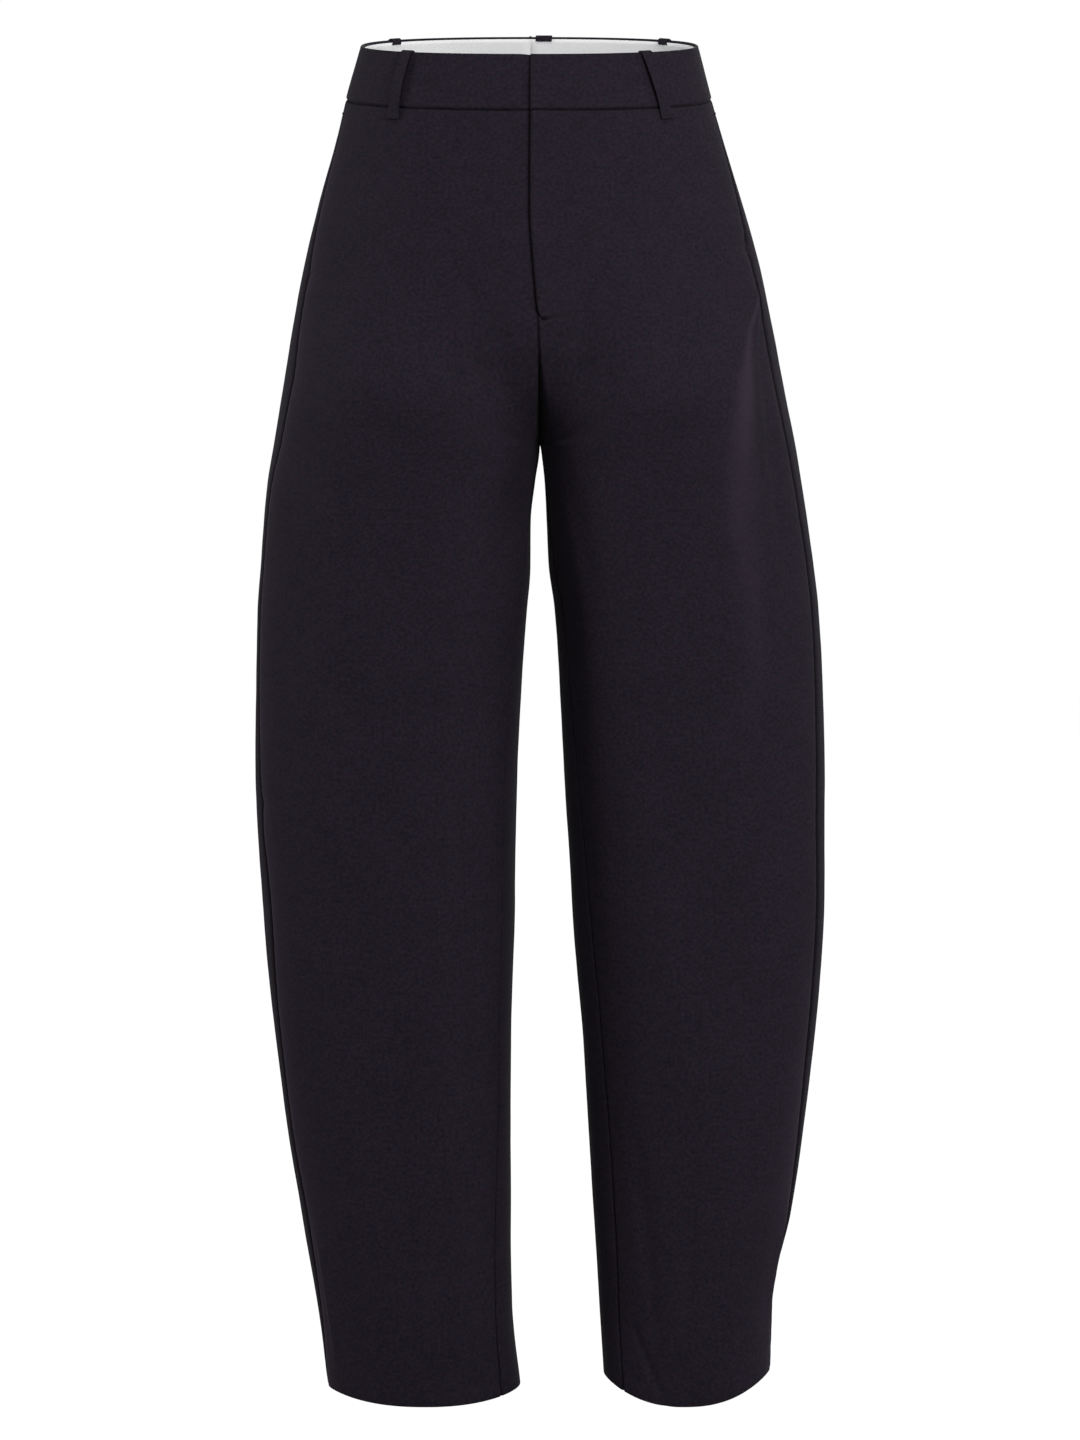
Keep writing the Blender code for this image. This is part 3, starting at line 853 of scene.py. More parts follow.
@dataclass(frozen=True)
class Suiting:
    """Blue-black fine twill with a heathered yarn and a soft sheen."""

    name: str = "suiting_twill"
    dark: tuple[float, float, float] = (0.0096, 0.0072, 0.0124)
    light: tuple[float, float, float] = (0.0218, 0.0155, 0.0252)
    roughness: float = 0.7
    roughness_spread: float = 0.12
    specular: float = 0.08
    sheen: float = 0.035
    sheen_roughness: float = 0.4
    twill_pitch: float = 0.00085
    yarn_pitch: float = 0.00042
    # Painted highlight colour and painted shade colour, which the panels' attribute mixes into the cloth
    painted_light: tuple[float, float, float] = (0.047, 0.0345, 0.053)
    seam_shade: tuple[float, float, float] = (0.001, 0.0008, 0.0012)
    blue_tint: tuple[float, float, float] = (0.86, 1.05, 1.08)
    red_tint: tuple[float, float, float] = (1.14, 0.95, 0.95)
    heather_scale: float = 380.0
    tint_scale: float = 300.0
    tint_shift: tuple[float, float, float] = (7.3, 2.1, 0.0)
    tint_contrast: float = 2.4
    tint_offset: float = 0.7
    mottle_scale: float = 110.0
    cloud_scale: float = 26.0
    heather_tone: float = 2.3
    mottle_tone: float = 0.5
    cloud_tone: float = 0.4
    twill_tone: float = 0.2
    tone_offset: float = 1.2
    yarn_slant: float = 0.3
    twill_rise: float = 0.6
    yarn_rise: float = 0.15
    heather_rise: float = 0.5
    relief: float = 0.00011
    relief_strength: float = 0.55

    def make(self) -> bpy.types.Material:
        """Builds the cloth: diagonal twill ribs, heathered yarns, faint clouds of tone, and painted
        highlights and shade from the panels' attribute.

        Returns:
            The material.
        """
        paint = Paint(self.name)
        place = paint.add("ShaderNodeUVMap", {"uv_map": "cloth"})
        across = paint.add("ShaderNodeSeparateXYZ", {}, {0: place}, "X")
        along = paint.add("ShaderNodeSeparateXYZ", {}, {0: place}, "Y")
        twill = ((across + along) * (TAU / self.twill_pitch)).sine() * 0.5 + 0.5
        yarn = ((across - along * self.yarn_slant) * (TAU / self.yarn_pitch)).sine() * 0.5 + 0.5
        heather = paint.noise(place, self.heather_scale, 3.0)
        mottle = paint.noise(place, self.mottle_scale, 1.0)
        clouds = paint.noise(place, self.cloud_scale, 2.0)
        tone = heather * self.heather_tone + mottle * self.mottle_tone
        tone = tone + clouds * self.cloud_tone + twill * self.twill_tone - self.tone_offset
        specks = paint.noise(paint.vector("ADD", place, self.tint_shift), self.tint_scale, 1.0)
        hue = specks * self.tint_contrast - self.tint_offset
        # The panels' attribute mixes in the painted highlight colour where it is above 0 and the painted
        # shade colour where it is below 0
        painted_level = paint.add("ShaderNodeAttribute", {"attribute_name": "painted_light"}, {}, "Fac")
        tint = paint.mix(hue, self.blue_tint, self.red_tint)
        yarns = paint.vector("MULTIPLY", paint.mix(tone, self.dark, self.light), tint)
        height = twill * self.twill_rise + yarn * self.yarn_rise + heather * self.heather_rise
        bump = {"Strength": self.relief_strength, "Distance": self.relief, "Height": height}
        lit = paint.mix(painted_level, yarns, self.painted_light)
        paint.surface(
            {
                "Base Color": paint.mix(painted_level * -1.0, lit, self.seam_shade),
                "Roughness": self.roughness + self.roughness_spread * heather,
                "Metallic": 0.0,
                "Specular IOR Level": self.specular,
                "Sheen Weight": self.sheen,
                "Sheen Roughness": self.sheen_roughness,
                "Normal": paint.add("ShaderNodeBump", {}, bump),
            }
        )
        return paint.material


@dataclass(frozen=True)
class FacingCloth:
    """The smooth pale cloth inside the waistband."""

    name: str = "pale_facing_cloth"
    dark: tuple[float, float, float] = (0.87, 0.87, 0.88)
    light: tuple[float, float, float] = (0.95, 0.95, 0.96)
    roughness: float = 0.6
    roughness_spread: float = 0.1
    specular: float = 0.3
    thread_pitch: float = 0.0005
    cloud_scale: float = 60.0
    cloud_tone: float = 0.8
    weave_tone: float = 0.2
    relief: float = 0.00008
    relief_strength: float = 0.4

    def make(self) -> bpy.types.Material:
        """Builds the cloth: fine plain weave and faint clouds of tone.

        Returns:
            The material.
        """
        paint = Paint(self.name)
        place = paint.add("ShaderNodeUVMap", {"uv_map": "cloth"})
        across = paint.add("ShaderNodeSeparateXYZ", {}, {0: place}, "X")
        along = paint.add("ShaderNodeSeparateXYZ", {}, {0: place}, "Y")
        turns = TAU / self.thread_pitch
        weave = (across * turns).sine() * (along * turns).sine() * 0.5 + 0.5
        clouds = paint.noise(place, self.cloud_scale, 3.0)
        bump = {"Strength": self.relief_strength, "Distance": self.relief, "Height": weave}
        tone = clouds * self.cloud_tone + weave * self.weave_tone
        paint.surface(
            {
                "Base Color": paint.mix(tone, self.dark, self.light),
                "Roughness": self.roughness + self.roughness_spread * clouds,
                "Metallic": 0.0,
                "Specular IOR Level": self.specular,
                "Normal": paint.add("ShaderNodeBump", {}, bump),
            }
        )
        return paint.material


@dataclass(frozen=True)
class Thread:
    """Sewing thread in the suiting's colour, a little brighter and smoother."""

    name: str = "sewing_thread"
    dark: tuple[float, float, float] = (0.010, 0.008, 0.012)
    light: tuple[float, float, float] = (0.024, 0.020, 0.028)
    roughness: float = 0.55
    roughness_spread: float = 0.2
    specular: float = 0.15
    fibre_scale: float = 2200.0

    def make(self) -> bpy.types.Material:
        """Builds the thread, with a fine change of tone along its fibres.

        Returns:
            The material.
        """
        paint = Paint(self.name)
        place = paint.add("ShaderNodeTexCoord", {}, {}, "Object")
        fibres = paint.noise(place, self.fibre_scale, 1.0)
        paint.surface(
            {
                "Base Color": paint.mix(fibres, self.dark, self.light),
                "Roughness": self.roughness + self.roughness_spread * fibres,
                "Metallic": 0.0,
                "Specular IOR Level": self.specular,
            }
        )
        return paint.material


@dataclass(frozen=True)
class Cut:
    """The flat size of a piece of cloth before it was sewn, in metres and square metres."""

    width: float
    length: float
    area: float | None = None
    held: Held = Held.HUNG


class Workroom:
    """Turns grids of points into dressed pieces, and keeps the finishes."""

    def __init__(self) -> None:
        """Makes the finishes."""
        self.suiting = Suiting().make()
        self.facing = FacingCloth().make()
        self.thread = Thread().make()

    def cloth(
        self,
        name: str,
        points: np.ndarray,
        outward: np.ndarray,
        places: np.ndarray,
        thickness: float,
        painted_light: np.ndarray | None = None,
    ) -> bpy.types.Object:
        """A sheet of cloth through a grid of points, thickened on the side away from its outer face.

        Args:
            name: The piece's name.
            points: Rows and columns of points of the outer face, in millimetres.
            outward: The outward direction at each point.
            places: The place of each point on the flat cloth, in metres.
            thickness: The cloth's thickness.
            painted_light: How much painted highlight each point gets, or painted shade where it is negative.

        Returns:
            The piece.
        """
        rows, columns = points.shape[:2]
        mesh = bmesh.new()
        bmesh.ops.create_grid(mesh, x_segments=columns - 1, y_segments=rows - 1, size=1.0)
        layer = mesh.loops.layers.uv.new("cloth")
        cells = []
        for vert in mesh.verts:
            column = round((vert.co.x + 1) / 2 * (columns - 1))
            row = round((vert.co.y + 1) / 2 * (rows - 1))
            cells.append((row, column))
            vert.co = points[row, column] * MM
        mesh.verts.index_update()
        for polygon in mesh.faces:
            for loop in polygon.loops:
                loop[layer].uv = places[cells[loop.vert.index]]
        along = points[1:-1, 2:] - points[1:-1, :-2]
        down = points[2:, 1:-1] - points[:-2, 1:-1]
        if np.sum(np.cross(along, down) * outward[1:-1, 1:-1]) < 0:
            bmesh.ops.reverse_faces(mesh, faces=mesh.faces)
        piece = self.piece(name, mesh)
        if painted_light is not None:
            # Each point carries its painted highlight, or its painted shade where the number is negative
            layer = piece.data.attributes.new("painted_light", "FLOAT", "POINT")
            layer.data.foreach_set("value", [painted_light[cell] for cell in cells])
        solidify = piece.modifiers.new("thickness", "SOLIDIFY")
        solidify.thickness = thickness * MM
        solidify.offset = -1.0
        return piece

    def piece(self, name: str, mesh: bmesh.types.BMesh) -> bpy.types.Object:
        """An object in the scene from a finished mesh.

        Args:
            name: The piece's name.
            mesh: The mesh, in metres, which is freed.

        Returns:
            The object, at the origin.
        """
        data = bpy.data.meshes.new(name)
        mesh.to_mesh(data)
        mesh.free()
        data.shade_smooth()
        data.set_sharp_from_angle(angle=math.radians(SHARP_ANGLE))
        piece = bpy.data.objects.new(name, data)
        bpy.context.scene.collection.objects.link(piece)
        return piece

    def dress(
        self,
        piece: bpy.types.Object,
        material: bpy.types.Material,
        node: str | None = None,
    ) -> None:
        """Gives a piece its finish, hangs it on the root body and hides the CAD part that it stands for, if
        any.

        Args:
            piece: The piece.
            material: Its finish.
            node: The CAD node that it stands for.
        """
        piece.data.materials.append(material)
        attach(piece, "root")
        if node:
            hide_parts(node)
        log.info("%s: %d faces", piece.name, len(piece.data.polygons))


def flat_places(points: np.ndarray, drops: np.ndarray) -> np.ndarray:
    """Places on the flat cloth, with the grain straight down the middle of the piece.

    Args:
        points: Rows and columns of points, in millimetres.
        drops: The way down the cloth at each row.

    Returns:
        The way across and up for each point, in metres.
    """
    steps = np.linalg.norm(np.diff(points, axis=1), axis=-1)
    across = np.concatenate((np.zeros((len(points), 1)), np.cumsum(steps, axis=1)), axis=1)
    across -= across[:, points.shape[1] // 2 : points.shape[1] // 2 + 1]
    up = np.broadcast_to(-np.asarray(drops, float)[:, None], across.shape)
    return np.stack((across, up), axis=-1) * MM


def unevenness(points: np.ndarray, scale: float, seed: float) -> np.ndarray:
    """Smooth noise from -1 to 1 at each point, the same on both sides of a seam.

    Args:
        points: Points in millimetres.
        scale: The width of its waves.
        seed: A number that changes the pattern.

    Returns:
        One value for each point.
    """
    flat = points.reshape(-1, 3) / scale
    offset = Vector((seed, seed * 0.7, seed * 1.3))
    values = [noise.noise(Vector(point) + offset) for point in flat]
    return np.array(values).reshape(points.shape[:-1])


@dataclass(frozen=True)
class FlyEnd:
    """The short curved fold where the fly's edge turns in at its foot."""

    level: float = FLY_END + 11.6
    curl: float = 13.0
    curl_reach: float = 1.4
    slope: float = 0.34
    depth: float = 1.7
    depth_fades: Ramp = Ramp(3.0, 8.0)
    tail: float = 0.4
    tail_fades: Ramp = Ramp(9.0, 7.0)
    half_width: float = 1.2
    lift_length: float = 3.0

    def line(self, reach: np.ndarray) -> np.ndarray:
        """How far down the fly's edge turns in under its end, at each distance from it."""
        return self.level - self.curl * np.exp(-reach / self.curl_reach) - self.slope * reach

    def fold(self, reach: np.ndarray, drop: np.ndarray) -> np.ndarray:
        """The fold's depth, which is below 0."""
        deep = self.depth * (1 - self.depth_fades.at(reach)) + self.tail * (1 - self.tail_fades.at(reach))
        return -deep * bell((drop - self.line(reach)) / self.half_width)

    def lifted(self, reach: np.ndarray, drop: np.ndarray) -> np.ndarray:
        """How much of the left front's lift is left, from 1 above the fold to 0 below it."""
        return 1 - ease((drop - self.line(reach)) / self.lift_length + 0.5)


@dataclass(frozen=True)
class LegPanel:
    """One of the four leg panels, from the waistband to the hem and folded up inside it."""

    side: Side
    face: Face
    cut: Cut
    columns: int = 58
    arc_samples: int = 161
    row_spans: tuple[tuple[int, int, int], ...] = (
        (24, 60, 12),
        (60, 172, 30),
        (172, 202, 30),
        (202, 330, 50),
        (330, 980, 170),
        (980, 1020, 14),
    )
    turn_steps: int = 8
    crowding: float = 0.55
    turn_up: float = 35.0
    seam_lap: float = 0.1
    ridge_grows: Ramp = Ramp(BAND_FOOT, 60.0)
    ridge_height: float = 1.4
    ridge_reach: float = 13.0
    back_ridge_reach: float = 8.0
    curl: float = 3.0
    curl_reach: dict[Side, float] = field(default_factory=lambda: {Side.LEFT: 4.2, Side.RIGHT: 2.8})
    curl_lift: float = 0.8
    back_curl: float = 1.9
    back_curl_reach: float = 2.4
    cleft_depth: float = 20.0
    cleft_opens: Ramp = Ramp(206.0, 62.0)
    cleft_ends: Ramp = Ramp(274.0, 17.0)
    cleft_width: float = 1.3
    cleft_gain: float = 2.8
    cleft_widens: Ramp = Ramp(218.0, 50.0)
    cleft_share: dict[Side, float] = field(default_factory=lambda: {Side.LEFT: 1.15, Side.RIGHT: 0.6})
    thigh_fill: float = 4.0
    thigh_fill_reach: Swell = Swell(30.0, 18.0)
    thigh_fill_drop: Swell = Swell(262.0, 24.0)
    inseam_set: dict[Side, float] = field(default_factory=lambda: {Side.LEFT: 10.0, Side.RIGHT: -5.0})
    inseam_reach: float = 29.0
    inseam_starts: Ramp = Ramp(300.0, 90.0)
    inseam_ends: Ramp = Ramp(960.0, 70.0)
    flat_edge: float = 0.2
    flat_edge_starts: Ramp = Ramp(FLY_END + 4.0, 8.0)
    flat_edge_ends: Ramp = Ramp(222.0, 14.0)
    calm_starts: Ramp = Ramp(222.0, 28.0)
    calm_ends: Ramp = Ramp(320.0, 50.0)
    calm_reach: float = 16.0
    fly_end: FlyEnd = FlyEnd()
    fly_lift: float = 1.4
    fly_dip: float = 0.9
    fly_groove: float = 1.5
    fly_groove_width: float = 2.1
    fly_reach: float = 16.0
    fly_fades: Ramp = Ramp(FLY_END, 9.0)
    leg_half_width: float = 100.0
    pucker_pitch: float = 13.0
    pucker_height: float = 0.16
    pucker_reach: float = 5.0
    pucker_sway: Sway = Sway(1.7, 37.0)
    inner_pitch: float = 1.2
    inner_height: float = 0.7
    inner_sway: Sway = Sway(2.1, 29.0)
    broad: Ripple = Ripple(0.7, 70.0, 3.1)
    small: Ripple = Ripple(0.13, 17.0, 8.4)
    ripple_grows: Ramp = Ramp(BAND_FOOT, 45.0)
    dart_place: float = 0.52
    dart_lean: float = 0.03
    dart_foot: float = 128.0
    dart_fades: Ramp = Ramp(0.55, 0.45)
    dart_groove: Relief = Relief(-0.85, 1.5)
    dart_rim: Relief = Relief(0.35, 6.0)
    # Painted highlight beside the fronts' side seams, at the left pocket's foot and down the left hip's fold
    painted_highlight_start: float = 2.5
    painted_highlight_reach: dict[Side, float] = field(default_factory=lambda: {Side.LEFT: 12.0, Side.RIGHT: 7.0})
    right_painted_highlight: float = 0.75
    left_painted_highlight: float = 0.1
    left_painted_highlight_gain: float = 0.6
    left_painted_highlight_grows: Ramp = Ramp(640.0, 220.0)
    pocket_painted_highlight: float = 0.6
    pocket_painted_highlight_drop: Swell = Swell(160.0, 24.0)
    pocket_painted_highlight_reach: float = 3.5
    streak: float = 0.5
    streak_width: float = 5.0
    streak_gain: float = 7.0
    streak_widens: Ramp = Ramp(195.0, 60.0)
    # Painted shade in the seams, on the backs beside the side seams, in the fly's line and end, and in the
    # cleft
    side_shade: float = 0.75
    front_shade_width: float = 2.0
    back_shade_width: float = 2.6
    wide_shade: float = 0.22
    wide_shade_reach: float = 10.0
    inner_shade: float = 0.5
    inner_shade_width: float = 1.0
    waist_shade_drop: Swell = Swell(BAND_FOOT, 0.9)
    hook_shade: float = 0.4
    fly_shade: float = 0.85
    fly_shade_width: float = 1.9
    cleft_shade: float = 2.2
    darkest: float = 0.98
    painted_highlight_limit: float = 0.4

    @property
    def node(self) -> str:
        """The CAD node that it stands for."""
        return f"{self.face.word}_{self.side.word}"

    def body_drops(self) -> list[float]:
        """The drops of the rows between the waist seam and the hem, closer where there is more detail.

        Returns:
            The drops, from the highest to the lowest.
        """
        drops: list[float] = []
        for top, end, count in self.row_spans:
            drops.extend(np.linspace(top, end, count, endpoint=False))
        return drops

    def rows(self) -> list[tuple[float, float, float]]:
        """Every row, down the outside and up inside the hem.

        Returns:
            For each row its drop, its depth below the outer face and its way along the cloth.
        """
        rows = [(BAND_FOOT + edge.inset, edge.depth, BAND_FOOT) for edge in SEAM_EDGE]
        rows[0] = (BAND_FOOT - self.seam_lap, SEAM_EDGE[0].depth, BAND_FOOT)
        rows += [(drop, 0.0, drop) for drop in self.body_drops()]
        radius = CLOTH + LAYER_GAP / 2
        steps = self.turn_steps
        for k in range(steps + 1):
            turn = math.pi * k / steps
            depth = radius * (1 - math.cos(turn))
            rows.append((HEM - radius + radius * math.sin(turn), depth, HEM - radius + radius * turn))
        start = rows[-1][2]
        for k in range(1, steps + 1):
            rise = (self.turn_up - radius) * k / steps
            rows.append((HEM - radius - rise, 2 * radius, start + rise))
        return rows

    def shares(self, drops: np.ndarray) -> tuple[np.ndarray, np.ndarray, np.ndarray]:
        """Even columns along the cloth, with turned edges at both seams.

        Args:
            drops: The rows' drops.

        Returns:
            The share and the distance from the inner edge of each point, and each column's depth.
        """
        turns = np.linspace(0, math.pi, self.arc_samples)
        samples = (1 - np.cos(turns)) / 2
        grid = FORM.panel_point(self.side, self.face, samples[None, :], drops[:, None])
        steps = np.linalg.norm(np.diff(grid, axis=1), axis=-1)
        arcs = np.concatenate((np.zeros((len(drops), 1)), np.cumsum(steps, axis=1)), axis=1)
        widths = arcs[:, -1:]
        insets = np.array([edge.inset for edge in SEAM_EDGE])
        depths = np.array([edge.depth for edge in SEAM_EDGE])
        middle = np.linspace(0, 1, self.columns + 2)[1:-1]
        middle = middle - self.crowding * np.sin(TAU * middle) / TAU
        first = insets[-1]
        inner = first + (widths - 2 * first) * middle[None, :]
        left = np.broadcast_to(insets, (len(drops), len(insets)))
        reach = np.concatenate((left, inner, widths - insets[::-1]), axis=1)
        shares = np.stack([np.interp(r, a, samples) for r, a in zip(reach, arcs)])
        depth = np.concatenate((depths, np.zeros(self.columns), depths[::-1]))
        return shares, reach, depth

    def width(self, drop: np.ndarray) -> np.ndarray:
        """About how wide the panel is at each way down."""
        return math.pi / 2 * (FORM.body.read("front", drop) + self.leg_half_width)

    def folds(self, share: np.ndarray, drop: np.ndarray) -> np.ndarray:
        """The height of this panel's soft folds and creases.

        Args:
            share: The share of the panel's width, from its inner edge.
            drop: The way down.

        Returns:
            One value for each point.
        """
        width = self.width(drop)
        height = np.zeros_like(share)
        for fold in MAIN_FOLDS + FINE_FOLDS:
            if fold.panel != self.node:
                continue
            k = (drop - fold.top_drop) / (fold.end_drop - fold.top_drop)
            middle = fold.top_share + (fold.end_share - fold.top_share) * k
            rise = np.sin(math.pi * np.clip(k, 0, 1))
            height += fold.height * rise * bell((share - middle) * width / fold.half_width)
        return height

    def seam_distance(self, share: np.ndarray, drop: np.ndarray) -> np.ndarray:
        """The way round from the side seam, in millimetres.

        Args:
            share: The share of the panel's width, from its inner edge.
            drop: The way down.

        Returns:
            The distance at each point.
        """
        hip_angle, leg_angle = FORM.panel_angles(self.side, self.face, share, drop)
        w = FORM.leg_share(1.0, drop)
        side_turn = FORM.legs[self.side].read("side_turn", drop)
        turn = np.abs((hip_angle - side_turn) * (1 - w) + (leg_angle - side_turn) * w)
        return np.radians(turn) * FORM.body.read(self.face.word, drop)

    def side_seam(self, share: np.ndarray, drop: np.ndarray) -> np.ndarray:
        """The pressed ridge along the side seam, its dents and its fine puckers.

        Args:
            share: The share of the panel's width, from its inner edge.
            drop: The way down.

        Returns:
            The height at each point.
        """
        away = self.seam_distance(share, drop)
        reach = self.ridge_reach if self.face is Face.FRONT else self.back_ridge_reach
        grown = self.ridge_grows.at(drop)
        height = self.ridge_height * grown * np.exp(-away / reach)
        for dent in SEAM_DENTS:
            if dent.side is self.side:
                height += dent.height * bell((drop - dent.drop) / dent.length) * np.exp(-away / reach)
        if self.face is Face.FRONT:
            curl = self.curl * np.exp(-away / self.curl_reach[self.side])
            height += grown * (self.curl_lift * np.exp(-away / reach) - curl)
        else:
            height -= self.back_curl * grown * np.exp(-away / self.back_curl_reach)
        wave = self.pucker_sway.wave(drop, self.pucker_pitch)
        return height + self.pucker_height * wave * np.exp(-away / self.pucker_reach)

    def closed(self, drop: np.ndarray) -> np.ndarray:
        """How far the fly is closed over the right front, which ends at its foot."""
        return 1 - self.fly_fades.at(drop)

    def fly(self, reach: np.ndarray, drop: np.ndarray) -> np.ndarray:
        """The left front lifted over the right beside the fly opening, and the turned end of its edge.

        Args:
            reach: The distance from the inner edge.
            drop: The way down.

        Returns:
            The height at each point.
        """
        near = np.exp(-reach / self.fly_reach)
        if self.side is Side.RIGHT:
            groove = self.fly_groove * bell(reach / self.fly_groove_width)
            return -(self.fly_dip * near + groove) * self.closed(drop)
        return self.fly_lift * near * self.fly_end.lifted(reach, drop) + self.fly_end.fold(reach, drop)

    def painted_highlight(self, share: np.ndarray, away: np.ndarray, drop: np.ndarray) -> np.ndarray:
        """How much painted highlight a front gets beside its side seam and, on the left, down the hip's fold.

        Args:
            share: The way across the panel at each point.
            away: The distance from the side seam.
            drop: The way down.

        Returns:
            A number from 0 to 1 for each point.
        """
        beside = np.exp(-np.maximum(away - self.painted_highlight_start, 0) / self.painted_highlight_reach[self.side])
        grown = self.ridge_grows.at(drop)
        if self.side is Side.RIGHT:
            return self.right_painted_highlight * grown * beside
        most = self.left_painted_highlight + self.left_painted_highlight_gain * self.left_painted_highlight_grows.at(drop)
        pocket = self.pocket_painted_highlight * self.pocket_painted_highlight_drop.at(drop)
        pocket = pocket * np.exp(-away / self.pocket_painted_highlight_reach)
        middle, strength = soft_path(HIP_HIGHLIGHT, drop)
        spread = self.streak_width + self.streak_gain * self.streak_widens.at(drop)
        streak = self.streak * strength * bell((share - middle) * self.width(drop) / spread)
        return np.maximum.reduce([most * grown * beside, pocket, streak])

    def shade(self, reach: np.ndarray, away: np.ndarray, drop: np.ndarray) -> np.ndarray:
        """How much painted shade darkens the cloth in its seams and in the folds beside them.

        Args:
            reach: The distance from the inner edge at each point.
            away: The distance from the side seam.
            drop: The way down.

        Returns:
            A number from 0 to 1 for each point.
        """
        front = self.face is Face.FRONT
        side_width = self.front_shade_width if front else self.back_shade_width
        grown = self.ridge_grows.at(drop)
        shades = [
            self.side_shade * grown * bell(away / side_width),
            self.inner_shade * bell(reach / self.inner_shade_width),
            self.inner_shade * self.waist_shade_drop.at(drop),
        ]
        if not front:
            shades.append(self.wide_shade * grown * np.exp(-away / self.wide_shade_reach))
        elif self.side is Side.LEFT:
            shades.append(-self.hook_shade * self.fly_end.fold(reach, drop))
        else:
            shades.append(self.fly_shade * self.closed(drop) * bell(reach / self.fly_shade_width))
        if front:
            cleft = self.cleft_shade * self.cleft(reach, drop) / self.cleft_depth
            shades.append(np.minimum(cleft, self.darkest))
        return np.minimum(np.maximum.reduce(shades), 1)

    def painted_level(self, share: np.ndarray, reach: np.ndarray, drop: np.ndarray) -> np.ndarray:
        """How much painted highlight lightens the cloth, or painted shade darkens it in a seam where the
        number is negative.

        Args:
            share: The way across the panel at each point.
            reach: The distance from the inner edge.
            drop: The way down.

        Returns:
            A number from -1 to 1 for each point.
        """
        away = self.seam_distance(share, drop)
        shade = self.shade(reach, away, drop)
        if self.face is Face.BACK:
            return -shade
        return self.painted_highlight(share, away, drop) * (1 - np.minimum(shade / self.painted_highlight_limit, 1)) - shade

    def inner_seam(self, reach: np.ndarray, drop: np.ndarray) -> np.ndarray:
        """Fine puckers along the centre seam and the inseam."""
        wave = self.inner_sway.wave(drop, self.pucker_pitch * self.inner_pitch)
        return self.pucker_height * self.inner_height * wave * np.exp(-reach / self.pucker_reach)

    def cleft(self, reach: np.ndarray, drop: np.ndarray) -> np.ndarray:
        """How deep the two fronts fold in between the thighs, above the fork.

        Args:
            reach: The distance from the inner edge.
            drop: The way down.

        Returns:
            The depth at each point.
        """
        depth = self.cleft_depth * self.cleft_opens.at(drop) * (1 - self.cleft_ends.at(drop))
        width = self.cleft_width + self.cleft_gain * self.cleft_widens.at(drop)
        return depth * bell(reach / (width * self.cleft_share[self.side]))

    def filled_thigh(self, reach: np.ndarray, drop: np.ndarray) -> np.ndarray:
        """The fronts' fullness beside the cleft, just above the fork."""
        return self.thigh_fill * self.thigh_fill_reach.at(reach) * self.thigh_fill_drop.at(drop)

    def inseam_shift(self, reach: np.ndarray, drop: np.ndarray) -> np.ndarray:
        """How far back the inseam hangs, the same on both panels of a leg."""
        window = self.inseam_starts.at(drop) * (1 - self.inseam_ends.at(drop))
        return self.inseam_set[self.side] * window * bell(reach / self.inseam_reach)

    def edge_share(self, drop: np.ndarray) -> np.ndarray:
        """How much of the inner edge's turn is left below the fly, where its seam is flatter."""
        return 1 - self.flat_edge * self.flat_edge_starts.at(drop) * (1 - self.flat_edge_ends.at(drop))

    def crotch_calm(self, reach: np.ndarray, drop: np.ndarray) -> np.ndarray:
        """Takes the relief away close to the fork, where the four panels meet."""
        level = self.calm_starts.at(drop) * (1 - self.calm_ends.at(drop))
        return 1 - level * (1 - ease(reach / self.calm_reach))

    def dart(self, share: np.ndarray, drop: np.ndarray) -> np.ndarray:
        """The sewn dart under the back of the waistband, a narrow groove that dies out.

        Args:
            share: The share of the panel's width, from its inner edge.
            drop: The way down.

        Returns:
            The height at each point.
        """
        width = math.pi / 2 * FORM.body.read("back", drop)
        k = (drop - BAND_FOOT) / (self.dart_foot - BAND_FOOT)
        off = (share - self.dart_place - self.dart_lean * k) * width
        groove, rim = self.dart_groove, self.dart_rim
        height = groove.height * bell(off / groove.half_width) + rim.height * bell(off / rim.half_width)
        return height * (1 - self.dart_fades.at(k))

    def make(self, room: Workroom) -> bpy.types.Object:
        """Sews the panel.

        Args:
            room: Where cloth is made.

        Returns:
            The panel, not yet dressed.
        """
        rows = np.array(self.rows())
        drops, depths, runs = rows.T
        share, reach, edge_depth = self.shares(drops)
        drop = np.broadcast_to(drops[:, None], share.shape)
        points = FORM.panel_point(self.side, self.face, share, drop)
        normals = FORM.panel_normal(self.side, self.face, share, drop)
        relief = self.folds(share, drop) + self.side_seam(share, drop) + self.inner_seam(reach, drop)
        if self.face is Face.FRONT:
            relief = relief + self.fly(reach, drop) + self.filled_thigh(reach, drop)
        else:
            relief = relief + self.dart(share, drop)
        relief = relief + self.ripple_grows.at(drop) * (self.broad.at(points) + self.small.at(points))
        relief = relief * self.crotch_calm(reach, drop)
        into = normals.copy()
        above = drops < FORK
        seam_out = FORM.crotch_normal(self.side, self.face, drops[above])[:, None]
        into[above, : len(SEAM_EDGE)] = seam_out
        turned = np.broadcast_to(edge_depth, share.shape).copy()
        if self.face is Face.FRONT:
            turned[:, : len(SEAM_EDGE)] *= self.edge_share(drops)[:, None]
        sunk = points + normals * (relief - depths[:, None])[..., None] - into * turned[..., None]
        sunk[..., 1] += self.inseam_shift(reach, drop)
        if self.face is Face.FRONT:
            sunk[above] -= seam_out * self.cleft(reach[above], drop[above])[..., None]
        outward = np.where((depths > CLOTH)[:, None, None], -normals, normals)
        # The painted highlights and painted shade, which the suiting mixes into its colour
        places, painted_light = flat_places(points, runs), self.painted_level(share, reach, drop)
        return room.cloth(f"{self.node}_panel", sunk, outward, places, CLOTH, painted_light)


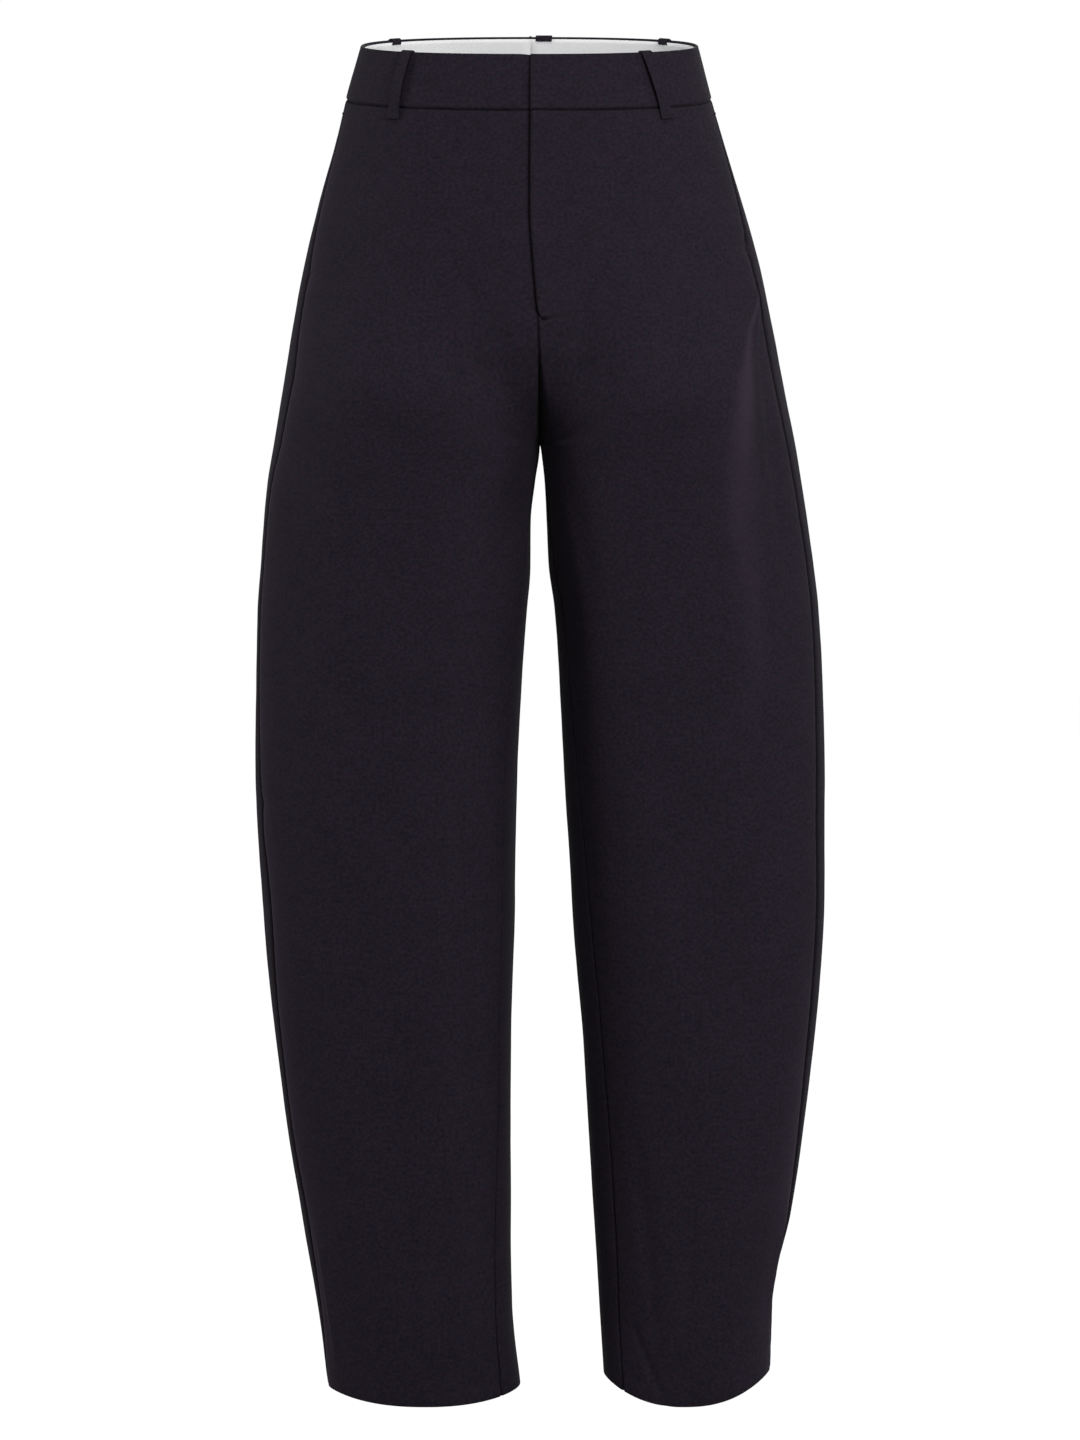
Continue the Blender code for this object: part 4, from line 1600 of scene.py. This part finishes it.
@dataclass(frozen=True)
class Waistband:
    """Half of the waistband: a folded strip, whose right half runs on under the left at the front."""

    side: Side
    cut: Cut
    proud: float = 0.5
    thickness: float = 2.4
    columns: int = 84
    face_rows: int = 14
    inside: float = 9.0
    underlap: tuple[float, ...] = (28.0, 21.0, 14.0, 7.0, 1.0)
    underlap_dip: tuple[float, float] = (2.6, 3.4)
    underlap_ramp: float = 9.0
    overlap_lift: tuple[float, float] = (0.1, 1.0)
    overlap_grows: float = 26.0
    ends: tuple[float, ...] = (0.5, 1.2, 2.2, 3.5, 5.0, 6.5, 8.0, 10.0, 12.0)
    first_even: float = 14.0
    last_even: float = -88.4
    turn_steps: int = 8
    foot_clear: float = 3.0
    top_clear: float = 1.5
    least_inward: float = -0.3
    ripple: Ripple = Ripple(0.14, 31.0, 5.2)
    stitch_line: Relief = Relief(-0.12, 0.9)
    stitch_down: float = 3.2
    turned_end: tuple[EdgePoint, ...] = (
        EdgePoint(0.0, 2.0),
        EdgePoint(0.0, 1.0),
        EdgePoint(0.22, 0.3),
        EdgePoint(0.7, 0.05),
    )

    def section(self) -> list[EdgePoint]:
        """The band's section from its seam up the face, over the top edge and down inside.

        Returns:
            Each row's drop, as its inset, and its depth.
        """
        rows = [EdgePoint(BAND_FOOT - edge.inset, edge.depth) for edge in SEAM_EDGE]
        top = BAND_TOP + self.thickness / 2
        for drop in np.linspace(BAND_FOOT - self.foot_clear, top + self.top_clear, self.face_rows):
            rows.append(EdgePoint(float(drop), 0.0))
        for k in range(self.turn_steps + 1):
            turn = math.pi * k / self.turn_steps
            depth = self.thickness / 2 * (1 - math.cos(turn))
            rows.append(EdgePoint(top - self.thickness / 2 * math.sin(turn), depth))
        return rows + [EdgePoint(top + self.inside * k / 3, self.thickness) for k in (1, 2, 3)]

    def make(self, room: Workroom) -> bpy.types.Object:
        """Folds the half band round the waist.

        Args:
            room: Where cloth is made.

        Returns:
            The half band, not yet dressed.
        """
        rows = self.section()
        drop = np.array([row.inset for row in rows])
        depth = np.array([row.depth for row in rows])
        grown = ease((drop - BAND_TOP) / self.overlap_grows)
        dip = self.underlap_dip[0] + (self.underlap_dip[1] - self.underlap_dip[0]) * grown
        overlap = self.overlap_lift[0] + (self.overlap_lift[1] - self.overlap_lift[0]) * grown
        inward = np.clip(1 - 2 * depth / self.thickness, self.least_inward, 1.0)
        points, normals = [], []

        def column(side: Side, angle: np.ndarray, out: np.ndarray | float, extra: float) -> None:
            """Adds a column that stands out by one amount, with its edge turned in by the extra.

            Args:
                side: The wearer's left or right.
                angle: The angle round the waist.
                out: How far it stands out.
                extra: How far its edge is turned in.
            """
            normal = FORM.hip_normal(side, angle, drop)
            place = FORM.hip_point(side, angle, drop) + normal * (out - depth - extra * inward)[:, None]
            points.append(place)
            normals.append(normal)

        if self.side is Side.RIGHT:
            for distance in self.underlap:
                angle = FORM.angle_from_front(Side.LEFT, distance, drop)
                column(Side.LEFT, angle, self.proud - dip, 0.0)
        else:
            for edge in self.turned_end:
                angle = FORM.angle_from_front(self.side, edge.inset, drop)
                column(self.side, angle, self.proud + overlap, edge.depth)
        for distance in self.ends:
            near = 1 - ease(distance / self.underlap_ramp)
            lift = -dip * near if self.side is Side.RIGHT else overlap * near
            column(self.side, FORM.angle_from_front(self.side, distance, drop), self.proud + lift, 0.0)
        first = FORM.angle_from_front(self.side, self.first_even, drop)
        half_width = FORM.half_width(self.side, drop)
        for k in range(self.columns + 1):
            column(self.side, first + (self.last_even - first) * k / self.columns, self.proud, 0.0)
        for edge in reversed(SEAM_EDGE):
            angle = -90 + np.degrees((edge.inset / half_width) ** (1 / FORM.oval_power))
            column(self.side, angle, self.proud, edge.depth)
        grid = np.stack(points, axis=1)
        outward = np.stack(normals, axis=1)
        relief = self.ripple.at(grid)
        height, half_width = self.stitch_line
        line = height * bell((drop - BAND_TOP - self.stitch_down) / half_width) * (depth < CLOTH)
        grid = grid + outward * (relief + line[:, None])[..., None]
        outward = np.where((depth > CLOTH)[:, None, None], -outward, outward)
        steps = np.linalg.norm(np.diff(grid[:, self.columns // 2], axis=0), axis=-1)
        runs = np.concatenate(([0.0], np.cumsum(steps)))
        places = flat_places(grid, -runs)
        return room.cloth(f"waistband_{self.side.word}_strip", grid, outward, places, CLOTH)


@dataclass(frozen=True)
class WaistFacing:
    """Half of the pale facing inside the waistband."""

    side: Side
    cut: Cut
    depth: float = 3.2
    thickness: float = 0.6
    top_step: float = 1.6
    foot_step: float = 6.0
    first_distance: dict[Side, float] = field(default_factory=lambda: {Side.RIGHT: 14.0, Side.LEFT: 36.0})
    sewn: float = 9.0
    creases: tuple[Ripple, Ripple] = (Ripple(0.35, 24.0, 2.2), Ripple(0.15, 9.0, 6.1))
    most_outward: float = -0.2
    columns: int = 90
    rows: int = 16

    def make(self, room: Workroom) -> bpy.types.Object:
        """Lays the facing inside the band, with the soft creases of a thin cloth.

        Args:
            room: Where cloth is made.

        Returns:
            The half facing, not yet dressed.
        """
        drop = np.linspace(BAND_TOP + self.top_step, BAND_FOOT + self.foot_step, self.rows)[:, None]
        first = FORM.angle_from_front(self.side, self.first_distance[self.side], drop)
        shares = np.linspace(0, 1, self.columns)[None, :]
        angle = first + (-90.0 - first) * shares
        normals = FORM.hip_normal(self.side, angle, drop)
        base = FORM.hip_point(self.side, angle, drop)
        free = ease((drop - BAND_TOP - self.top_step) / self.sewn)
        waves = self.creases[0].at(base) + self.creases[1].at(base)
        points = base - normals * (self.depth + np.maximum(waves, self.most_outward) * free)[..., None]
        places = flat_places(base, drop[:, 0])
        return room.cloth(f"waist_facing_{self.side.word}_strip", points, -normals, places, self.thickness)


@dataclass(frozen=True)
class FlyShield:
    """The strip behind the fly opening, inside both fronts."""

    cut: Cut
    right_width: float = 11.0
    left_width: float = 25.0
    depth: float = 3.0
    thickness: float = 1.0
    taper: float = 50.0
    foot_share: float = 0.55
    top_gap: float = 0.3
    centre_gap: float = 0.5
    rows: int = 40
    columns: int = 8

    def make(self, room: Workroom) -> bpy.types.Object:
        """Lays the strip behind the fly.

        Args:
            room: Where cloth is made.

        Returns:
            The shield, not yet dressed.
        """
        drop = np.linspace(BAND_FOOT + self.top_gap, FLY_END, self.rows)
        left = self.left_width * (1 + (self.foot_share - 1) * ease((drop - FLY_END) / self.taper + 1))
        points, normals = [], []
        on_right = self.columns // 3
        for k in range(self.columns + 1):
            if k < on_right:
                side = Side.RIGHT
                distance = np.full_like(drop, self.right_width * (1 - 3 * k / self.columns))
            else:
                side, gap = Side.LEFT, self.centre_gap
                distance = gap + (left - gap) * (k - on_right) / (self.columns - on_right)
            angle = FORM.angle_from_front(side, distance, drop)
            normal = FORM.hip_normal(side, angle, drop)
            points.append(FORM.hip_point(side, angle, drop) - normal * self.depth)
            normals.append(normal)
        grid, outward = np.stack(points, axis=1), np.stack(normals, axis=1)
        return room.cloth("fly_shield_strip", grid, outward, flat_places(grid, drop), self.thickness)


@dataclass(frozen=True)
class PocketFacing:
    """The strip of suiting behind a pocket's mouth in the side seam."""

    side: Side
    cut: Cut
    top: float = 20.4
    foot: float = 168.0
    front_width: float = 26.0
    back_width: float = 16.0
    depth: float = 2.3
    thickness: float = 0.9
    rows: int = 36
    columns: int = 12

    def make(self, room: Workroom) -> bpy.types.Object:
        """Lays the strip behind the pocket's mouth.

        Args:
            room: Where cloth is made.

        Returns:
            The facing, not yet dressed.
        """
        drop = np.linspace(self.top, self.foot, self.rows)[:, None]
        side_turn = FORM.legs[self.side].read("side_turn", drop)
        front = np.degrees(self.front_width / FORM.body.read("front", drop))
        back = np.degrees(self.back_width / FORM.body.read("back", drop))
        shares = np.linspace(0, 1, self.columns)[None, :]
        angle = side_turn + front - (front + back) * shares
        normals = FORM.hip_normal(self.side, angle, drop)
        points = FORM.hip_point(self.side, angle, drop) - normals * self.depth
        places = flat_places(points, drop[:, 0])
        return room.cloth(f"pocket_facing_{self.side.word}_strip", points, normals, places, self.thickness)


@dataclass(frozen=True)
class BeltLoop:
    """A narrow strip sewn over the waistband's top edge and below its foot, standing off between them."""

    node: str
    side: Side
    top_turn: float
    foot_turn: float
    cut: Cut
    thickness: float = 1.1
    rows: int = 64
    columns: int = 10
    twist: float = 0.5
    softening: int = 6
    edge_drop: float = 0.22
    edge_power: int = 6
    groove: Relief = Relief(-0.1, 0.3)
    edge_round: float = 0.28
    edge_angle: float = 50.0

    def line(self) -> tuple[np.ndarray, np.ndarray, np.ndarray]:
        """The loop's middle line at even steps, softened.

        Returns:
            Its way out, its way down and its width at each row.
        """
        table = np.array(LOOP_LINE)
        steps = np.hypot(np.diff(table[:, 0]), np.diff(table[:, 1]))
        runs = np.concatenate(([0.0], np.cumsum(steps)))
        even = np.linspace(0, runs[-1], self.rows)
        columns = [np.interp(even, runs, table[:, k]) for k in range(3)]
        for _ in range(self.softening):
            for values in columns:
                values[1:-1] = (values[:-2] + 2 * values[1:-1] + values[2:]) / 4
        return columns[0], columns[1], columns[2]

    def make(self, room: Workroom) -> bpy.types.Object:
        """Folds the loop over the band.

        Args:
            room: Where cloth is made.

        Returns:
            The loop, not yet dressed.
        """
        out, down, width = self.line()
        drop = (BAND_TOP + down)[:, None]
        angle = (self.top_turn + (self.foot_turn - self.top_turn) * down / down[-1])[:, None]
        half_width = FORM.half_width(self.side, drop)
        half_depth = FORM.body.read("front" if self.top_turn > 0 else "back", drop)
        turn = np.radians(angle)
        speed = np.hypot(half_width * np.sin(turn), half_depth * np.cos(turn))
        places = np.sin(np.linspace(-math.pi / 2, math.pi / 2, self.columns))[None, :]
        angles = angle + np.degrees(width[:, None] / 2 / speed) * places
        normals = FORM.hip_normal(self.side, angles, np.broadcast_to(drop, angles.shape))
        middle = np.sin(math.pi * np.clip(down / down[-1], 0, 1))[:, None]
        lift = out[:, None] + self.twist * places * middle - self.edge_drop * places**self.edge_power
        lift = lift + self.groove.height * bell(places / self.groove.half_width)
        points = FORM.hip_point(self.side, angles, np.broadcast_to(drop, angles.shape))
        points = points + normals * lift[..., None]
        rise = np.gradient(points, axis=0)
        along = np.gradient(points, axis=1)
        outward = unit(np.cross(along, rise))
        if np.sum(outward[self.rows // 2] * normals[self.rows // 2]) < 0:
            outward = -outward
        points = points + outward * (self.thickness / 2)
        steps = np.hypot(np.diff(out), np.diff(down))
        runs = np.concatenate(([0.0], np.cumsum(steps)))
        piece = room.cloth(f"{self.node}_strip", points, outward, flat_places(points, runs), self.thickness)
        bevel = piece.modifiers.new("soft_edges", "BEVEL")
        bevel.width = self.edge_round * MM
        bevel.segments = 2
        bevel.angle_limit = math.radians(self.edge_angle)
        return piece


@dataclass(frozen=True)
class BarTack:
    """A short bar of close stitches that holds the end of an opening or a loop."""

    centre: np.ndarray
    along: np.ndarray
    normal: np.ndarray
    length: float
    stitches: int = 15
    width: float = 1.5
    thread: float = 0.36
    thread_sides: int = 6
    crown: float = 0.9
    step: float = 0.1
    bend: float = 0.35

    def sew(self, mesh: bmesh.types.BMesh) -> None:
        """Adds the bar's stitches to a mesh.

        Args:
            mesh: The mesh that gets them, in metres.
        """
        along = Vector(unit(self.along))
        normal = Vector(unit(self.normal))
        across = normal.cross(along).normalized()
        turned = Matrix((along, normal, across)).transposed().to_4x4()
        for k in range(self.stitches):
            share = (k + 0.5) / self.stitches - 0.5
            lift = self.thread * (0.5 - self.crown * abs(share)) + self.step * (k % 2)
            place = Vector(self.centre) + along * share * self.length + normal * lift
            made = bmesh.ops.create_cone(
                mesh,
                cap_ends=True,
                segments=self.thread_sides,
                radius1=self.thread / 2 * MM,
                radius2=self.thread / 2 * MM,
                depth=self.width * MM,
                matrix=Matrix.Translation(place * MM) @ turned,
            )
            for vert in made["verts"]:
                end = abs((vert.co - place * MM).dot(across)) / (self.width * MM / 2)
                vert.co -= normal * self.bend * end * self.thread * MM


@dataclass(frozen=True)
class Stitching:
    """All the bar tacks: at the pockets' ends, the fly's end and the feet of the belt loops."""

    pocket_ends: tuple[tuple[Side, float], ...] = (
        (Side.LEFT, 31.0),
        (Side.LEFT, 137.0),
        (Side.RIGHT, 31.0),
        (Side.RIGHT, 157.0),
    )
    pocket_turn: float = 1.2
    pocket_out: float = 1.0
    pocket_bar: float = 5.0
    fly_drop: float = 193.6
    fly_distance: float = 8.5
    fly_out: float = 0.3
    fly_bar: float = 7.0
    loop_down: float = 48.6
    loop_out: float = 2.35
    loop_bar: float = 10.5
    loop_stitches: int = 24

    def hip_frame(self, side: Side, angle: float, drop: float, out: float) -> tuple[np.ndarray, ...]:
        """A place on the hip, with the directions round the waist and outwards.

        Args:
            side: The wearer's left or right.
            angle: The angle round the hip.
            drop: The drop.
            out: How far it stands out.

        Returns:
            The place, the direction round the waist and the outward one.
        """
        place = FORM.hip_point(side, np.array(angle), np.array(drop))
        normal = FORM.hip_normal(side, np.array(angle), np.array(drop))
        step = FORM.hip_point(side, np.array(angle + 1.0), np.array(drop)) - place
        return place + normal * out, step, normal

    def make(self, room: Workroom, loops: Sequence[BeltLoop]) -> bpy.types.Object:
        """Sews every bar tack into one piece.

        Args:
            room: Where pieces are made.
            loops: The belt loops, which are held by bars at their feet.

        Returns:
            The stitches, not yet dressed.
        """
        mesh = bmesh.new()
        for side, drop in self.pocket_ends:
            turn = float(FORM.legs[side].read("side_turn", drop))
            spot = self.hip_frame(side, turn + self.pocket_turn, drop, self.pocket_out)
            BarTack(*spot, self.pocket_bar).sew(mesh)
        angle = float(FORM.angle_from_front(Side.LEFT, self.fly_distance, self.fly_drop))
        spot = self.hip_frame(Side.LEFT, angle, self.fly_drop, self.fly_out)
        BarTack(*spot, self.fly_bar).sew(mesh)
        for loop in loops:
            drop = BAND_TOP + self.loop_down
            spot = self.hip_frame(loop.side, loop.foot_turn, drop, self.loop_out)
            BarTack(*spot, self.loop_bar, self.loop_stitches).sew(mesh)
        return room.piece("bar_tacks", mesh)


@dataclass(frozen=True)
class Studio:
    """A plain pale floor, soft lights from both sides and the camera of the photo's view, in metres."""

    floor_drop: float = 1.038
    floor_radius: float = 14.0
    floor_colour: tuple[float, float, float, float] = (0.4, 0.4, 0.4, 1.0)
    floor_roughness: float = 0.9
    floor_specular: float = 0.1
    floor_glow: float = 1.1
    floor_glow_share: float = 0.93
    sky_strength: float = 0.29
    camera_place: tuple[float, float, float] = (0.0, -3.4, -0.40)
    camera_reach: float = 100.0
    lens: float = 109.0
    sensor: float = 36.0
    shift: tuple[float, float] = (0.0066, -0.0938)
    lamps: tuple[Lamp, ...] = (
        Lamp("key_right", (1.35, -2.3, 0.45), (0, 0, -0.4), 1.0, 37.0),
        Lamp("fill_left", (-2.8, -0.45, 0.45), (0, 0, -0.4), 1.0, 28.0),
        Lamp("edge_right", (2.75, -0.3, 0.45), (0, 0, -0.4), 1.0, 14.0),
        Lamp("top", (0.0, -1.2, 1.9), (0, 0.1, 0), 0.8, 14.0),
        Lamp("back", (0.4, 2.6, 1.2), (0, 0, -0.4), 1.6, 14.0),
    )

    def floor(self) -> None:
        """Lays the floor."""
        mesh = bmesh.new()
        bmesh.ops.create_circle(mesh, cap_ends=True, segments=96, radius=self.floor_radius)
        bmesh.ops.translate(mesh, verts=mesh.verts, vec=(0, 0, -self.floor_drop))
        data = bpy.data.meshes.new("floor")
        mesh.to_mesh(data)
        mesh.free()
        floor = bpy.data.objects.new("floor", data)
        bpy.context.scene.collection.objects.link(floor)
        paint = Paint("pale_floor")
        paint.surface(
            {
                "Base Color": self.floor_colour,
                "Roughness": self.floor_roughness,
                "Specular IOR Level": self.floor_specular,
            }
        )
        white = (1.0, 1.0, 1.0, 1.0)
        glow = paint.add("ShaderNodeEmission", {}, {"Color": white, "Strength": self.floor_glow})
        seen = paint.add("ShaderNodeLightPath", {}, {}, "Is Camera Ray")
        diffuse = Wire(paint, paint.shader.outputs[0])
        both = paint.add("ShaderNodeMixShader", {}, {0: seen * self.floor_glow_share, 1: diffuse, 2: glow})
        paint.connect(paint.tree.nodes["Material Output"].inputs["Surface"], both)
        data.materials.append(paint.material)

    def light(self, lamp: Lamp) -> None:
        """Hangs a soft square light.

        Args:
            lamp: Its place, aim, size and power.
        """
        data = bpy.data.lights.new(lamp.name, "AREA")
        data.shape = "SQUARE"
        data.size = lamp.size
        data.energy = lamp.power
        hung = bpy.data.objects.new(lamp.name, data)
        hung.location = lamp.place
        hung.rotation_euler = (Vector(lamp.aim) - Vector(lamp.place)).to_track_quat("-Z", "Y").to_euler()
        bpy.context.scene.collection.objects.link(hung)

    def sky(self) -> None:
        """Fills the room with even white light."""
        world = bpy.data.worlds.new("studio_white")
        world.use_nodes = True
        recipe = Recipe(world.node_tree)
        background = world.node_tree.nodes["Background"]
        seen = recipe.add("ShaderNodeLightPath", {}, {}, "Is Camera Ray")
        recipe.connect(background.inputs["Color"], (1.0, 1.0, 1.0, 1.0))
        recipe.connect(background.inputs["Strength"], seen * (1.0 - self.sky_strength) + self.sky_strength)
        bpy.context.scene.world = world

    def camera(self) -> None:
        """Sets up the camera, level and square to the front."""
        data = bpy.data.cameras.new("camera")
        data.sensor_width = self.sensor
        data.lens = self.lens
        data.shift_x, data.shift_y = self.shift
        data.clip_end = self.camera_reach
        camera = bpy.data.objects.new("camera", data)
        camera.location = self.camera_place
        camera.rotation_euler = Euler((math.radians(90), 0, 0))
        bpy.context.scene.collection.objects.link(camera)
        bpy.context.scene.camera = camera

    def build(self) -> None:
        """Sets up the whole studio."""
        bpy.context.scene.view_settings.view_transform = "Standard"
        self.floor()
        self.sky()
        for lamp in self.lamps:
            self.light(lamp)
        self.camera()


FRONT_CUT = Cut(0.285, 1.05, 0.215, Held.HUNG)
BACK_CUT = Cut(0.43, 1.08, 0.365, Held.HUNG)
BAND_CUT = Cut(0.43, 0.056, None, Held.STRETCHED)
FACING_CUT = Cut(0.36, 0.047, None, Held.STRETCHED)
SHIELD_CUT = Cut(0.036, 0.167, 0.0055, Held.HUNG)
POCKET_CUT = Cut(0.042, 0.152, None, Held.HUNG)
LOOP_CUT = Cut(0.0124, 0.061, None, Held.FOLDED)

LOOPS = (
    BeltLoop("belt_loop_front_right", Side.RIGHT, 47.5, 47.0, LOOP_CUT),
    BeltLoop("belt_loop_front_left", Side.LEFT, 50.7, 46.2, LOOP_CUT, twist=-0.5),
    BeltLoop("belt_loop_back_right", Side.RIGHT, -37.0, -37.0, LOOP_CUT),
    BeltLoop("belt_loop_back_left", Side.LEFT, -37.0, -37.0, LOOP_CUT),
    BeltLoop("belt_loop_back_centre", Side.LEFT, -86.6, -87.5, LOOP_CUT, twist=0.2),
)


def main() -> None:
    """Builds the trousers piece by piece, then the studio round them."""
    logging.basicConfig(level=logging.INFO, format="%(message)s")
    room = Workroom()
    stitches = Stitching().make(room, LOOPS)
    room.dress(stitches, room.thread)
    for side in Side:
        band = Waistband(side, BAND_CUT)
        room.dress(band.make(room), room.suiting, f"waistband_{side.word}")
        facing = WaistFacing(side, FACING_CUT)
        room.dress(facing.make(room), room.facing, f"waist_facing_{side.word}")
        pocket = PocketFacing(side, POCKET_CUT)
        room.dress(pocket.make(room), room.suiting, f"pocket_facing_{side.word}")
        for face, cut in ((Face.FRONT, FRONT_CUT), (Face.BACK, BACK_CUT)):
            panel = LegPanel(side, face, cut)
            room.dress(panel.make(room), room.suiting, panel.node)
    shield = FlyShield(SHIELD_CUT)
    room.dress(shield.make(room), room.suiting, "fly_shield")
    for loop in LOOPS:
        room.dress(loop.make(room), room.suiting, loop.node)
    Studio().build()


if __name__ == "__main__":
    main()
